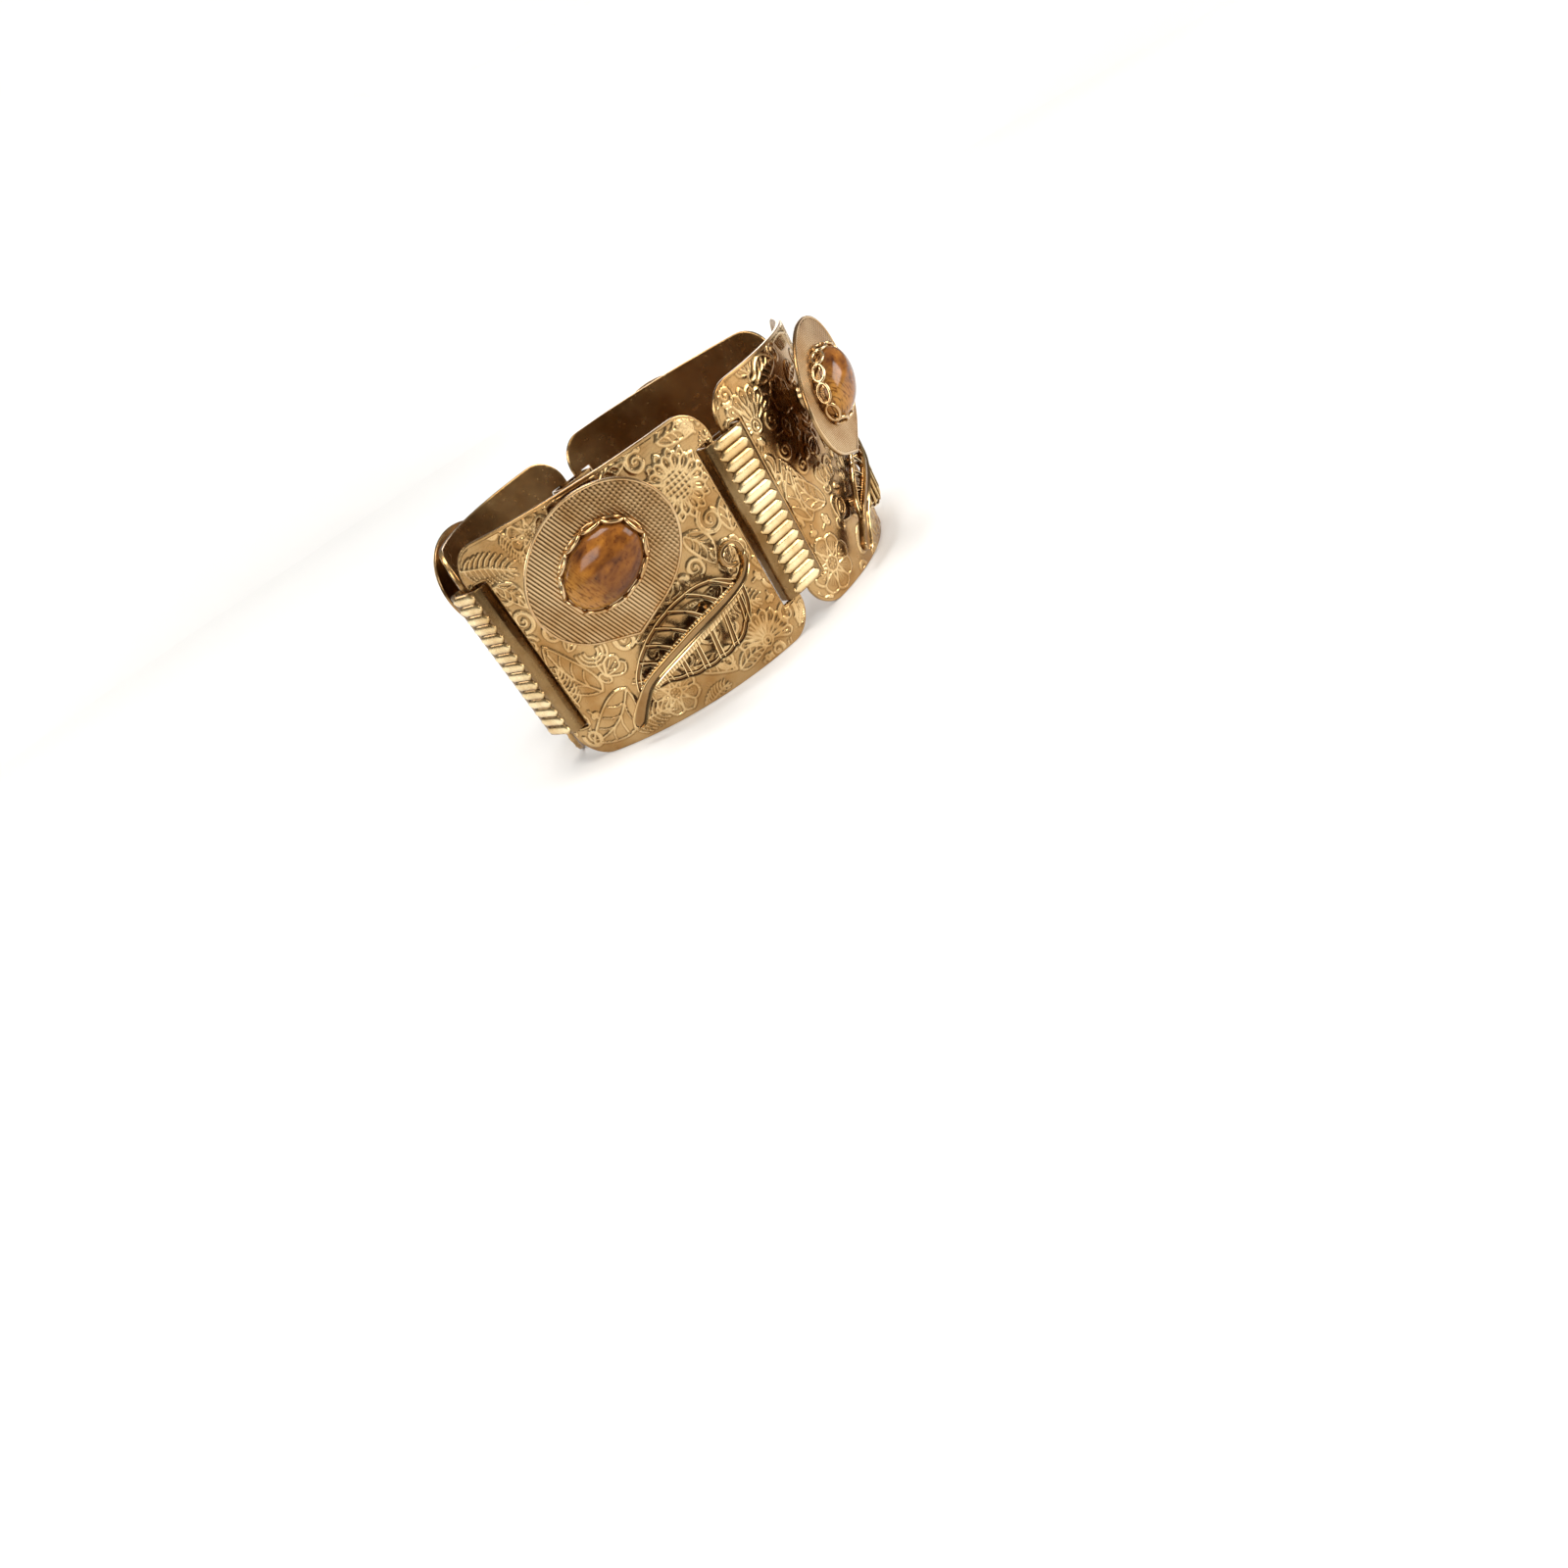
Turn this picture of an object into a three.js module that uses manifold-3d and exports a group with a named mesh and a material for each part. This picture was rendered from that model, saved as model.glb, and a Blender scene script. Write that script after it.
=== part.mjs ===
// Link bracelet: four curved panels, each with a raised disc, a cabochon and an openwork leaf,
// held together by three ribbed loop links and a plain loop clasp into one closed oval.
// Millimetres, +Z up. The bracelet stands on the lower edges of its panels.
// The origin is the middle of the oval, at the level that it stands on; the front link faces -Y.

import * as THREE from 'three';
import { mergeVertices } from 'three/addons/utils/BufferGeometryUtils.js';
import { ConvexGeometry } from 'three/addons/geometries/ConvexGeometry.js';
import Module from 'manifold-3d';

const wasm = await Module();
wasm.setup();

// ---- driving dimensions -------------------------------------------------------------------

const GAP = 0.3; // air kept between pieces that rest on each other

const PANEL = {
  chord: 40.4, // straight distance between its two ends
  radius: 35.4, // bend of its middle surface
  height: 37,
  thickness: 0.7,
  corner: 5,
  bar: 1.5, // strip left between a slot and the panel's end
  slotWidth: 2.1,
  slotLength: 26,
  steps: 18, // flats along the bend
};

const OVAL = {
  gap: 2.0, // between the ends of two neighbouring panels
  slope: 31.2, // degrees that a panel's chord turns away from the front link
};

const LINK = {
  width: 8.0,
  depth: 3.4,
  wall: 0.5,
  corner: 1.2,
  height: 25.4,
  ribs: 15,
  ribLength: 4.8,
  ribTaper: 0.6, // length of each rib's pointed end
  ribRise: 0.45,
  ribSunk: 0.15, // depth of a rib's foot in the loop
  sideLean: 8, // degrees that an end link leans towards its front or back panel
  sideInset: 0.35, // how far an end link sits inward of the panels' ends
  frontShift: 0.25, // the front link hangs a little towards the right panel
};

const CLASP = { coverWidth: 6.2, coverLength: 23, coverRise: 0.7, bevel: 0.25 };

const DISC = {
  along: -1.3, // from the panel's middle, along the bend
  up: 26.9, // above the standing level
  long: 12.4, // half of its long axis
  short: 9.6, // half of its short axis
  turn: 22, // degrees from the long axis to the horizontal
  tipX: -0.8,
  tipY: -11.2,
  thickness: 0.5,
  lift: 4.0, // underside above the panel
  sides: 30,
  postRadius: 2.0,
  postSides: 10,
};

const BEZEL = {
  rings: 12,
  long: 7.05, // half axes of the oval that the ring feet follow
  short: 5.15,
  halfWidth: 1.45, // of a ring, to the middle of its wire
  halfHeight: 0.85,
  wire: 0.23,
  wireSides: 5,
  ringSides: 10,
  sunk: 0.12, // depth of a ring's foot in the disc
  lean: 12, // degrees that the rings lean over the stone
};

const STONE = { long: 6.5, short: 4.5, girdle: 0.8, dome: 3.0, bevel: 0.25, sides: 20, domeSteps: 4 };

const LEAF = {
  lift: 2.0, // underside above the panel
  bladeThickness: 0.6,
  midribThickness: 1.0,
  midribRaise: 0.1, // the midrib's underside above the blade's
  rim: 0.75, // width of the blade's outer rim
  vein: 0.75,
  windows: 6, // openings on each side of the midrib
  smallestWindow: 0.5, // depth under which an opening is left out
  firstWindow: 7.0, // places along the midrib, from its flat end
  lastWindow: 24.0,
  sweep: 20, // degrees that the veins slant towards the flat end
  postRadius: 0.8,
  postSides: 8,
  posts: [9, 20],
  curlRadius: 1.55,
  curlWire: 0.42,
  curlWireSides: 6,
  curlSides: 12,
  curlX: 13.3,
  curlY: 17.7,
  steps: 16,
};

// The midrib's route on the opened-out panel: x along the bend, y above the standing level.
const MIDRIB = [
  { x: -9.6, y: 3.3 },
  { x: -7.0, y: 6.5 },
  { x: -4.1, y: 8.8 },
  { x: 3.4, y: 11.4 },
  { x: 11.3, y: 13.3 },
  { x: 14.1, y: 15.0 },
  { x: 14.9, y: 17.2 },
];

// The blade's reach on both sides of the midrib, by distance from the midrib's flat end.
const BLADE = [
  { at: 4.5, above: 0.4, below: 0.4 },
  { at: 8, above: 3.0, below: 2.1 },
  { at: 12, above: 4.7, below: 4.8 },
  { at: 16, above: 5.3, below: 6.1 },
  { at: 20, above: 4.9, below: 6.2 },
  { at: 23, above: 3.4, below: 4.3 },
  { at: 25, above: 0.8, below: 0.8 },
];

// The midrib's half width, by distance from its flat end.
const MIDRIB_WIDTH = [
  { at: 0, half: 1.0 },
  { at: 2, half: 1.15 },
  { at: 6, half: 0.8 },
  { at: 16, half: 0.85 },
  { at: 26, half: 0.6 },
  { at: 29, half: 0.42 },
];

// ---- materials ----------------------------------------------------------------------------

const engravedGold = () => new THREE.MeshStandardMaterial({ color: 0xb8904f, roughness: 0.34, metalness: 1 });
const paleGold = () => new THREE.MeshStandardMaterial({ color: 0xe6cf8e, roughness: 0.22, metalness: 1 });
const linedGold = () => new THREE.MeshStandardMaterial({ color: 0xb08a52, roughness: 0.3, metalness: 1 });
const agate = () => new THREE.MeshStandardMaterial({ color: 0x9a5a1e, roughness: 0.08, metalness: 0 });

// ---- solids: joins and cuts -----------------------------------------------------------------

function toSolid(geometry) {
  const bare = geometry.clone();
  bare.deleteAttribute('normal');
  bare.deleteAttribute('uv');
  const merged = mergeVertices(bare, 1e-5);
  const vertProperties = new Float32Array(merged.attributes.position.array);
  const triVerts = new Uint32Array(merged.index.array);
  return new wasm.Manifold(new wasm.Mesh({ numProp: 3, vertProperties, triVerts }));
}

function toGeometry(manifold) {
  const mesh = manifold.getMesh();
  const geometry = new THREE.BufferGeometry();
  geometry.setAttribute('position', new THREE.BufferAttribute(new Float32Array(mesh.vertProperties), 3));
  geometry.setIndex(new THREE.BufferAttribute(new Uint32Array(mesh.triVerts), 1));
  geometry.computeVertexNormals();
  return geometry;
}

function join(geometries) {
  return toGeometry(geometries.map(toSolid).reduce((whole, piece) => whole.add(piece)));
}

function cut(geometry, cutters) {
  return toGeometry(cutters.map(toSolid).reduce((rest, piece) => rest.subtract(piece), toSolid(geometry)));
}

// ---- small helpers --------------------------------------------------------------------------

const radians = THREE.MathUtils.degToRad;
const panelHalfAngle = Math.asin(PANEL.chord / 2 / PANEL.radius);
const outerRadius = PANEL.radius + PANEL.thickness / 2;

function extrude(shape, depth, options = {}) {
  return new THREE.ExtrudeGeometry(shape, { depth, bevelEnabled: false, curveSegments: 12, ...options });
}

// Linear reading of one named column in a table whose rows are ordered by "at".
function readTable(table, column, at) {
  const next = table.findIndex((row) => row.at >= at);
  if (next === 0) return table[0][column];
  if (next < 0) return table[table.length - 1][column];
  const [low, high] = [table[next - 1], table[next]];
  return THREE.MathUtils.mapLinear(at, low.at, high.at, low[column], high[column]);
}

function roundedRectangle(target, width, height, radius) {
  const [x, y] = [width / 2, height / 2];
  target.moveTo(-x + radius, -y);
  target.lineTo(x - radius, -y);
  target.absarc(x - radius, -y + radius, radius, -Math.PI / 2, 0, false);
  target.lineTo(x, y - radius);
  target.absarc(x - radius, y - radius, radius, 0, Math.PI / 2, false);
  target.lineTo(-x + radius, y);
  target.absarc(-x + radius, y - radius, radius, Math.PI / 2, Math.PI, false);
  target.lineTo(-x, -y + radius);
  target.absarc(-x + radius, -y + radius, radius, Math.PI, Math.PI * 1.5, false);
  return target;
}

// Wraps a flat geometry onto the panel's outer face: x runs along the bend, y up, z outward.
function wrapOnPanel(geometry) {
  const position = geometry.attributes.position;
  for (let i = 0; i < position.count; i += 1) {
    const angle = position.getX(i) / PANEL.radius;
    const reach = outerRadius + position.getZ(i);
    position.setXYZ(i, reach * Math.sin(angle), -reach * Math.cos(angle), position.getY(i));
  }
  geometry.computeVertexNormals();
  return geometry;
}

// ---- panel: a bent plate with rounded corners and a slot near each end -----------------------

function slotCutter(side) {
  const middle = panelHalfAngle - (PANEL.bar + PANEL.slotWidth / 2) / PANEL.radius;
  const cutter = new THREE.BoxGeometry(PANEL.slotWidth, 4 * PANEL.thickness, PANEL.slotLength);
  cutter.translate(0, -PANEL.radius, PANEL.height / 2);
  return cutter.rotateZ(side * middle);
}

// What lies outside the rounded corner, as a prism across the panel at its end.
function cornerCutter(side, top) {
  const r = PANEL.corner;
  const spare = 1;
  const shape = new THREE.Shape();
  shape.moveTo(0, r);
  shape.absarc(0, 0, r, Math.PI / 2, 0, true);
  shape.lineTo(r + spare, 0);
  shape.lineTo(r + spare, r + spare);
  shape.lineTo(0, r + spare);
  const cutter = extrude(shape, 4 * PANEL.thickness, { curveSegments: 6 });
  cutter.translate(0, 0, -2 * PANEL.thickness);
  if (!top) cutter.rotateX(Math.PI);
  if (side < 0) cutter.rotateY(Math.PI);
  cutter.rotateX(Math.PI / 2);
  const z = top ? PANEL.height - r : r;
  cutter.translate(-side * r, -PANEL.radius, z);
  return cutter.rotateZ(side * panelHalfAngle);
}

function panelGeometry() {
  const low = -Math.PI / 2 - panelHalfAngle;
  const high = -Math.PI / 2 + panelHalfAngle;
  const section = new THREE.Shape();
  section.absarc(0, 0, outerRadius, low, high, false);
  section.absarc(0, 0, outerRadius - PANEL.thickness, high, low, true);
  const plate = extrude(section, PANEL.height, { curveSegments: PANEL.steps });
  const cutters = [];
  for (const side of [-1, 1]) {
    cutters.push(slotCutter(side), cornerCutter(side, true), cornerCutter(side, false));
  }
  return cut(plate, cutters);
}

// ---- disc: an oval sheet drawn to a tip, its post, and the ring bezel soldered on it ----------

// The oval is a unit circle scaled and turned; the tip's two straight sides are tangents to it.
function discOutline() {
  const turn = radians(DISC.turn);
  const tip = new THREE.Vector2(DISC.tipX, DISC.tipY).rotateAround(new THREE.Vector2(), -turn);
  const onCircle = new THREE.Vector2(tip.x / DISC.long, tip.y / DISC.short);
  const half = Math.acos(1 / onCircle.length());
  const points = [new THREE.Vector2(DISC.tipX, DISC.tipY)];
  for (let i = 0; i <= DISC.sides; i += 1) {
    const angle = onCircle.angle() + half + ((2 * Math.PI - 2 * half) * i) / DISC.sides;
    const point = new THREE.Vector2(DISC.long * Math.cos(angle), DISC.short * Math.sin(angle));
    points.push(point.rotateAround(new THREE.Vector2(), turn));
  }
  return new THREE.Shape(points);
}

function bezelRing(place, tangent) {
  const ring = new THREE.TorusGeometry(1, BEZEL.wire, BEZEL.wireSides, BEZEL.ringSides);
  const position = ring.attributes.position;
  for (let i = 0; i < position.count; i += 1) {
    const angle = Math.atan2(position.getY(i), position.getX(i));
    const x = position.getX(i) + (BEZEL.halfWidth - 1) * Math.cos(angle);
    const y = position.getY(i) + (BEZEL.halfHeight - 1) * Math.sin(angle);
    position.setXY(i, x, y);
  }
  ring.translate(0, BEZEL.halfHeight + BEZEL.wire - BEZEL.sunk, 0);
  const lean = radians(BEZEL.lean);
  const along = new THREE.Vector3(tangent.x, tangent.y, 0);
  const inward = new THREE.Vector3(-tangent.y, tangent.x, 0);
  const rising = new THREE.Vector3(0, 0, Math.cos(lean)).addScaledVector(inward, Math.sin(lean));
  const across = new THREE.Vector3().crossVectors(along, rising);
  const matrix = new THREE.Matrix4().makeBasis(along, rising, across);
  matrix.setPosition(place.x, place.y, DISC.lift + DISC.thickness);
  return ring.applyMatrix4(matrix);
}

function discGeometry() {
  const pieces = [extrude(discOutline(), DISC.thickness).translate(0, 0, DISC.lift)];
  const postLength = DISC.lift + DISC.thickness / 2 - GAP;
  const post = new THREE.CylinderGeometry(DISC.postRadius, DISC.postRadius, postLength, DISC.postSides);
  post.rotateX(Math.PI / 2);
  post.translate(0, 0, GAP + postLength / 2);
  pieces.push(post);
  const feet = new THREE.EllipseCurve(0, 0, BEZEL.long, BEZEL.short, 0, 2 * Math.PI, false, 0);
  for (let i = 0; i < BEZEL.rings; i += 1) {
    const ring = bezelRing(feet.getPointAt(i / BEZEL.rings), feet.getTangentAt(i / BEZEL.rings));
    pieces.push(ring.rotateZ(radians(DISC.turn)));
  }
  return join(pieces);
}

// ---- stone: an oval cabochon ------------------------------------------------------------------

function stoneGeometry() {
  const edge = STONE.bevel / STONE.short;
  const profile = [new THREE.Vector2(0, 0), new THREE.Vector2(1 - edge, 0), new THREE.Vector2(1, STONE.bevel)];
  for (let i = 0; i < STONE.domeSteps; i += 1) {
    const angle = (Math.PI / 2) * (i / STONE.domeSteps);
    profile.push(new THREE.Vector2(Math.cos(angle), STONE.girdle + STONE.dome * Math.sin(angle)));
  }
  profile.push(new THREE.Vector2(0, STONE.girdle + STONE.dome));
  const stone = new THREE.LatheGeometry(profile, STONE.sides);
  stone.rotateX(Math.PI / 2);
  stone.scale(STONE.long, STONE.short, 1);
  stone.translate(0, 0, DISC.lift + DISC.thickness + GAP);
  return join([stone.rotateZ(radians(DISC.turn))]);
}

// ---- leaf: an openwork blade on a midrib that ends in a curl, on two posts ----------------------

const midrib = new THREE.SplineCurve(MIDRIB.map((point) => new THREE.Vector2(point.x, point.y)));
const midribLength = midrib.getLength();

// A place beside the midrib; positive offsets lie above it, and swept ones slant to its flat end.
function besideMidrib(at, offset, sweep = 0) {
  const slide = Math.abs(offset) * Math.tan(radians(sweep));
  const u = THREE.MathUtils.clamp((at - slide) / midribLength, 0, 1);
  const point = midrib.getPointAt(u);
  const tangent = midrib.getTangentAt(u);
  return new THREE.Vector2(point.x - tangent.y * offset, point.y + tangent.x * offset);
}

function bladeShape() {
  const edges = { above: [], below: [] };
  const [first, last] = [BLADE[0].at, BLADE[BLADE.length - 1].at];
  for (let i = 0; i <= LEAF.steps; i += 1) {
    const at = THREE.MathUtils.lerp(first, last, i / LEAF.steps);
    edges.above.push(besideMidrib(at, readTable(BLADE, 'above', at)));
    edges.below.push(besideMidrib(at, -readTable(BLADE, 'below', at)));
  }
  const shape = new THREE.Shape([...edges.below, ...edges.above.reverse()]);
  const pitch = (LEAF.lastWindow - LEAF.firstWindow) / LEAF.windows;
  for (const [side, column] of [[1, 'above'], [-1, 'below']]) {
    for (let i = 0; i < LEAF.windows; i += 1) {
      const start = LEAF.firstWindow + i * pitch + LEAF.vein / 2;
      const end = start + pitch - LEAF.vein;
      const inner = readTable(MIDRIB_WIDTH, 'half', start);
      const slide = Math.tan(radians(LEAF.sweep));
      const reach = (at) => {
        const open = readTable(BLADE, column, at) - LEAF.rim;
        return Math.min(open, readTable(BLADE, column, at - open * slide) - LEAF.rim);
      };
      if (Math.min(reach(start), reach(end)) < inner + LEAF.smallestWindow) continue;
      shape.holes.push(new THREE.Path([
        besideMidrib(start, side * inner, LEAF.sweep),
        besideMidrib(end, side * inner, LEAF.sweep),
        besideMidrib(end, side * reach(end), LEAF.sweep),
        besideMidrib(start, side * reach(start), LEAF.sweep),
      ]));
    }
  }
  return shape;
}

function midribShape() {
  const [above, below] = [[], []];
  for (let i = 0; i <= LEAF.steps; i += 1) {
    const at = (midribLength * i) / LEAF.steps;
    const half = readTable(MIDRIB_WIDTH, 'half', at);
    above.push(besideMidrib(at, half));
    below.push(besideMidrib(at, -half));
  }
  return new THREE.Shape([...below, ...above.reverse()]);
}

function leafGeometry() {
  const blade = extrude(bladeShape(), LEAF.bladeThickness);
  const rib = extrude(midribShape(), LEAF.midribThickness);
  const base = LEAF.lift + LEAF.midribRaise;
  const pieces = [blade.translate(0, 0, LEAF.lift), rib.translate(0, 0, base)];
  const curl = new THREE.TorusGeometry(LEAF.curlRadius, LEAF.curlWire, LEAF.curlWireSides, LEAF.curlSides);
  pieces.push(curl.translate(LEAF.curlX, LEAF.curlY, base + LEAF.midribThickness / 2));
  const postLength = LEAF.lift + LEAF.bladeThickness / 2 - GAP;
  for (const at of LEAF.posts) {
    const place = besideMidrib(at, 0);
    const post = new THREE.CylinderGeometry(LEAF.postRadius, LEAF.postRadius, postLength, LEAF.postSides);
    post.rotateX(Math.PI / 2);
    pieces.push(post.translate(place.x, place.y, GAP + postLength / 2));
  }
  return wrapOnPanel(join(pieces));
}

// ---- links: flat loops through the slots of two panels ------------------------------------------

function loopGeometry() {
  const shape = roundedRectangle(new THREE.Shape(), LINK.width, LINK.depth, LINK.corner);
  const inside = [LINK.width - 2 * LINK.wall, LINK.depth - 2 * LINK.wall, LINK.corner - LINK.wall];
  shape.holes.push(roundedRectangle(new THREE.Path(), ...inside));
  const loop = extrude(shape, LINK.height, { curveSegments: 3 });
  return loop.translate(0, 0, (PANEL.height - LINK.height) / 2);
}

// A half-round rib across the loop's outer leg, pointed at both ends.
function ribGeometry(z) {
  const half = LINK.height / LINK.ribs / 2;
  const face = -LINK.depth / 2;
  const points = [];
  for (const side of [-1, 1]) {
    const shoulder = side * (LINK.ribLength / 2 - LINK.ribTaper);
    for (const [across, rise] of [[-1, 0], [-0.62, 0.75], [0, 1], [0.62, 0.75], [1, 0]]) {
      points.push(new THREE.Vector3(shoulder, face - rise * LINK.ribRise, z + across * half));
    }
    points.push(new THREE.Vector3(side * (LINK.ribLength / 2), face, z));
    points.push(new THREE.Vector3(shoulder, face + LINK.ribSunk, z - half));
    points.push(new THREE.Vector3(shoulder, face + LINK.ribSunk, z + half));
  }
  return new ConvexGeometry(points);
}

function linkGeometry() {
  const pieces = [loopGeometry()];
  const pitch = LINK.height / LINK.ribs;
  const lowest = (PANEL.height - LINK.height) / 2 + pitch / 2;
  for (let i = 0; i < LINK.ribs; i += 1) pieces.push(ribGeometry(lowest + i * pitch));
  return join(pieces);
}

function claspGeometry() {
  const shape = roundedRectangle(new THREE.Shape(), CLASP.coverWidth, CLASP.coverLength, CLASP.bevel * 4);
  const cover = extrude(shape, CLASP.coverRise, {
    bevelEnabled: true,
    bevelSize: CLASP.bevel,
    bevelThickness: CLASP.bevel,
    bevelSegments: 1,
    curveSegments: 3,
  });
  cover.rotateX(Math.PI / 2);
  cover.translate(0, -LINK.depth / 2 + LINK.wall / 2, PANEL.height / 2);
  return join([loopGeometry(), cover]);
}

// ---- assembly -------------------------------------------------------------------------------------

const bracelet = new THREE.Group();

function addMesh(parent, name, geometry, material) {
  const mesh = new THREE.Mesh(geometry, material);
  mesh.name = name;
  parent.add(mesh);
}

const halfTurn = radians(OVAL.slope);
const joint = {
  x: PANEL.chord * Math.cos(halfTurn) + OVAL.gap / 2,
  y: PANEL.chord * Math.sin(halfTurn) + OVAL.gap / 2,
};

// Each panel's heading runs anticlockwise round the oval; outward is on its right.
const PANEL_PLACES = [
  { name: 'front_left', heading: -halfTurn, x: -1, y: -1 },
  { name: 'front_right', heading: halfTurn, x: 1, y: -1 },
  { name: 'back_right', heading: Math.PI - halfTurn, x: 1, y: 1 },
  { name: 'back_left', heading: Math.PI + halfTurn, x: -1, y: 1 },
];

const [panelForm, discForm] = [panelGeometry(), discGeometry()];
const [stoneForm, leafForm] = [stoneGeometry(), leafGeometry()];
const chordToCentre = Math.sqrt(PANEL.radius ** 2 - (PANEL.chord / 2) ** 2);

for (const place of PANEL_PLACES) {
  // The group stands on the panel's axis of bend, turned so that its -Y faces outward.
  const panel = new THREE.Group();
  const middle = { x: (place.x * (joint.x + OVAL.gap / 2)) / 2, y: (place.y * (joint.y + OVAL.gap / 2)) / 2 };
  panel.position.x = middle.x - Math.sin(place.heading) * chordToCentre;
  panel.position.y = middle.y + Math.cos(place.heading) * chordToCentre;
  panel.rotation.z = place.heading;
  addMesh(panel, `panel_${place.name}`, panelForm, engravedGold());
  addMesh(panel, `leaf_${place.name}`, leafForm, engravedGold());

  // The seat lies on the outer face where the disc's post stands: x along, y up, z outward.
  const swing = new THREE.Group();
  swing.rotation.z = DISC.along / PANEL.radius;
  const seat = new THREE.Group();
  seat.position.set(0, -outerRadius, DISC.up);
  seat.rotation.x = Math.PI / 2;
  addMesh(seat, `disc_${place.name}`, discForm, linedGold());
  addMesh(seat, `stone_${place.name}`, stoneForm, agate());
  swing.add(seat);
  panel.add(swing);
  bracelet.add(panel);
}

const linkForm = linkGeometry();
const lean = radians(LINK.sideLean);
const LINK_PLACES = [
  { name: 'link_front', form: linkForm, x: LINK.frontShift, y: -joint.y, turn: 0 },
  { name: 'link_right', form: linkForm, x: joint.x - LINK.sideInset, y: 0, turn: Math.PI / 2 + lean },
  { name: 'clasp_back', form: claspGeometry(), x: 0, y: joint.y, turn: Math.PI },
  { name: 'link_left', form: linkForm, x: -joint.x + LINK.sideInset, y: 0, turn: -Math.PI / 2 + lean },
];

for (const place of LINK_PLACES) {
  const holder = new THREE.Group();
  holder.position.set(place.x, place.y, 0);
  holder.rotation.z = place.turn;
  addMesh(holder, place.name, place.form, paleGold());
  bracelet.add(holder);
}

export default bracelet;
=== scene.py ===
"""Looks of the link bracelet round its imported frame.

Sizes are millimetres on the object, and those of the stage and the lights are metres, like the
meshes. A panel's own frame has x along the bend from its middle, y above the standing level and z
outward from its outer face; a disc's own frame starts at its middle.
"""

import math
from types import SimpleNamespace as Sizes

import bmesh
import bpy
import numpy as np
from mathutils import Matrix, Vector


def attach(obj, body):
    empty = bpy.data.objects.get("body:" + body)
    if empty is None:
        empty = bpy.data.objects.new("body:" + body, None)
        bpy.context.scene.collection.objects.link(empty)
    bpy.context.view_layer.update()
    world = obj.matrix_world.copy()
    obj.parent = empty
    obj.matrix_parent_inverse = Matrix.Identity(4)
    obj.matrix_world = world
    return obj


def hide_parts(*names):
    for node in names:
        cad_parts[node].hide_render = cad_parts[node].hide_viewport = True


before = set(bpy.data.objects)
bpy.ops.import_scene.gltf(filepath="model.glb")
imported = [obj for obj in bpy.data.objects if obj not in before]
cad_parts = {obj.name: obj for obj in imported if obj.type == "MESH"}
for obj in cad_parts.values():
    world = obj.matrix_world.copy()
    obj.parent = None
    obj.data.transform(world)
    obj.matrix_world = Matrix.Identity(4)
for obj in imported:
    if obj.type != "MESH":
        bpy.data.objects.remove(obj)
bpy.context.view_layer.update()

MM = 0.001
TURN = 2 * math.pi

# ---- sizes shared with the solids ----

RADIUS = 35.4  # bend of a panel's middle surface
THICKNESS = 0.7
OUTER = RADIUS + THICKNESS / 2
CHORD = 40.4
HEIGHT = 37.0
CORNER = 5.0
HALF_LENGTH = RADIUS * math.asin(CHORD / 2 / RADIUS)
SLOT = Sizes(width=2.1, length=26.0, bar=1.5, corner=0.25)
OVAL = Sizes(gap=2.0, slope=math.radians(31.2))
JOINT_X = CHORD * math.cos(OVAL.slope) + OVAL.gap / 2
JOINT_Y = CHORD * math.sin(OVAL.slope) + OVAL.gap / 2

DISC = Sizes(
    along=-1.3, up=26.9, long=12.4, short=9.6, turn=math.radians(22),
    tip=(-0.8, -11.2), low=4.0, high=4.5, post=2.0,
)
BEZEL = Sizes(
    rings=12, long=7.05, short=5.15, half_width=1.45, half_height=0.87,
    wire=0.28, lean=math.radians(12), sunk=0.12,
)
STONE = Sizes(long=6.5, short=4.5, low=4.8, girdle=0.8, dome=3.0)
LINK = Sizes(
    width=8.0, depth=3.4, wall=0.5, corner=1.2, height=25.4, ribs=15,
    rib_length=6.0, rise=0.38, lean=math.radians(8), inset=0.35, front_shift=0.25,
)
CLASP = Sizes(width=6.7, length=23.5, corner=1.2, foot=0.2, rise=1.0, sunk=0.3, bevel=0.3)

PANELS = {
    "front_left": (-1, -1, -OVAL.slope),
    "front_right": (1, -1, OVAL.slope),
    "back_right": (1, 1, math.pi - OVAL.slope),
    "back_left": (-1, 1, math.pi + OVAL.slope),
}

LINKS = {
    "link_front": (LINK.front_shift, -JOINT_Y, 0.0),
    "link_right": (JOINT_X - LINK.inset, 0.0, math.pi / 2 + LINK.lean),
    "link_left": (-JOINT_X + LINK.inset, 0.0, -math.pi / 2 + LINK.lean),
    "clasp_back": (0.0, JOINT_Y, math.pi),
}

# ---- fine detail ----

LINE_WIDTH = 0.27  # half width of a raised line at its foot
LINE_HEIGHT = 0.13
PATCH_HEIGHT = 0.03
PATCH_SWELL = 0.05
SWELL_WIDTH = 0.7
# half width of the painted shade, a dark band along a ridge's foot
PAINTED_SHADE_WIDTH = 0.15
WAVES = Sizes(count=7, length=(3.5, 9.0), height=0.004)
STIPPLE = Sizes(pitch=0.5, height=0.012, radius=0.42, places=(0.25, 0.75))
FACE = Sizes(pitch=0.155, rise=0.02, edge=0.4, slot_edge=0.3, sunk=0.03)
PANEL_BEVEL = 0.14
BEND_CUTS = 60
BARE_RIDGE = 0.02  # ridges lower than this leave the ground bare
RIB = Sizes(taper=0.9, foot=0.08, sunk=0.02, cuts=14, tip=0.7, section=(2.4, 0.6))
LOOP_BEVEL = 0.13
DISC_SHEET = Sizes(inset=0.08, steps=90, sunk=0.04, bevel=0.1)
DISC_LINES = Sizes(pitch=0.52, turn=math.radians(22), height=0.09, sunk=0.03, border=0.08)
LINES_GRID = Sizes(inset=0.42, steps=120, cuts=7, step=0.19)
CROSSED = Sizes(bearing=math.radians(35), gain=2.2, start=0.6, inner=5.5, over=3, depth=0.75)
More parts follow.
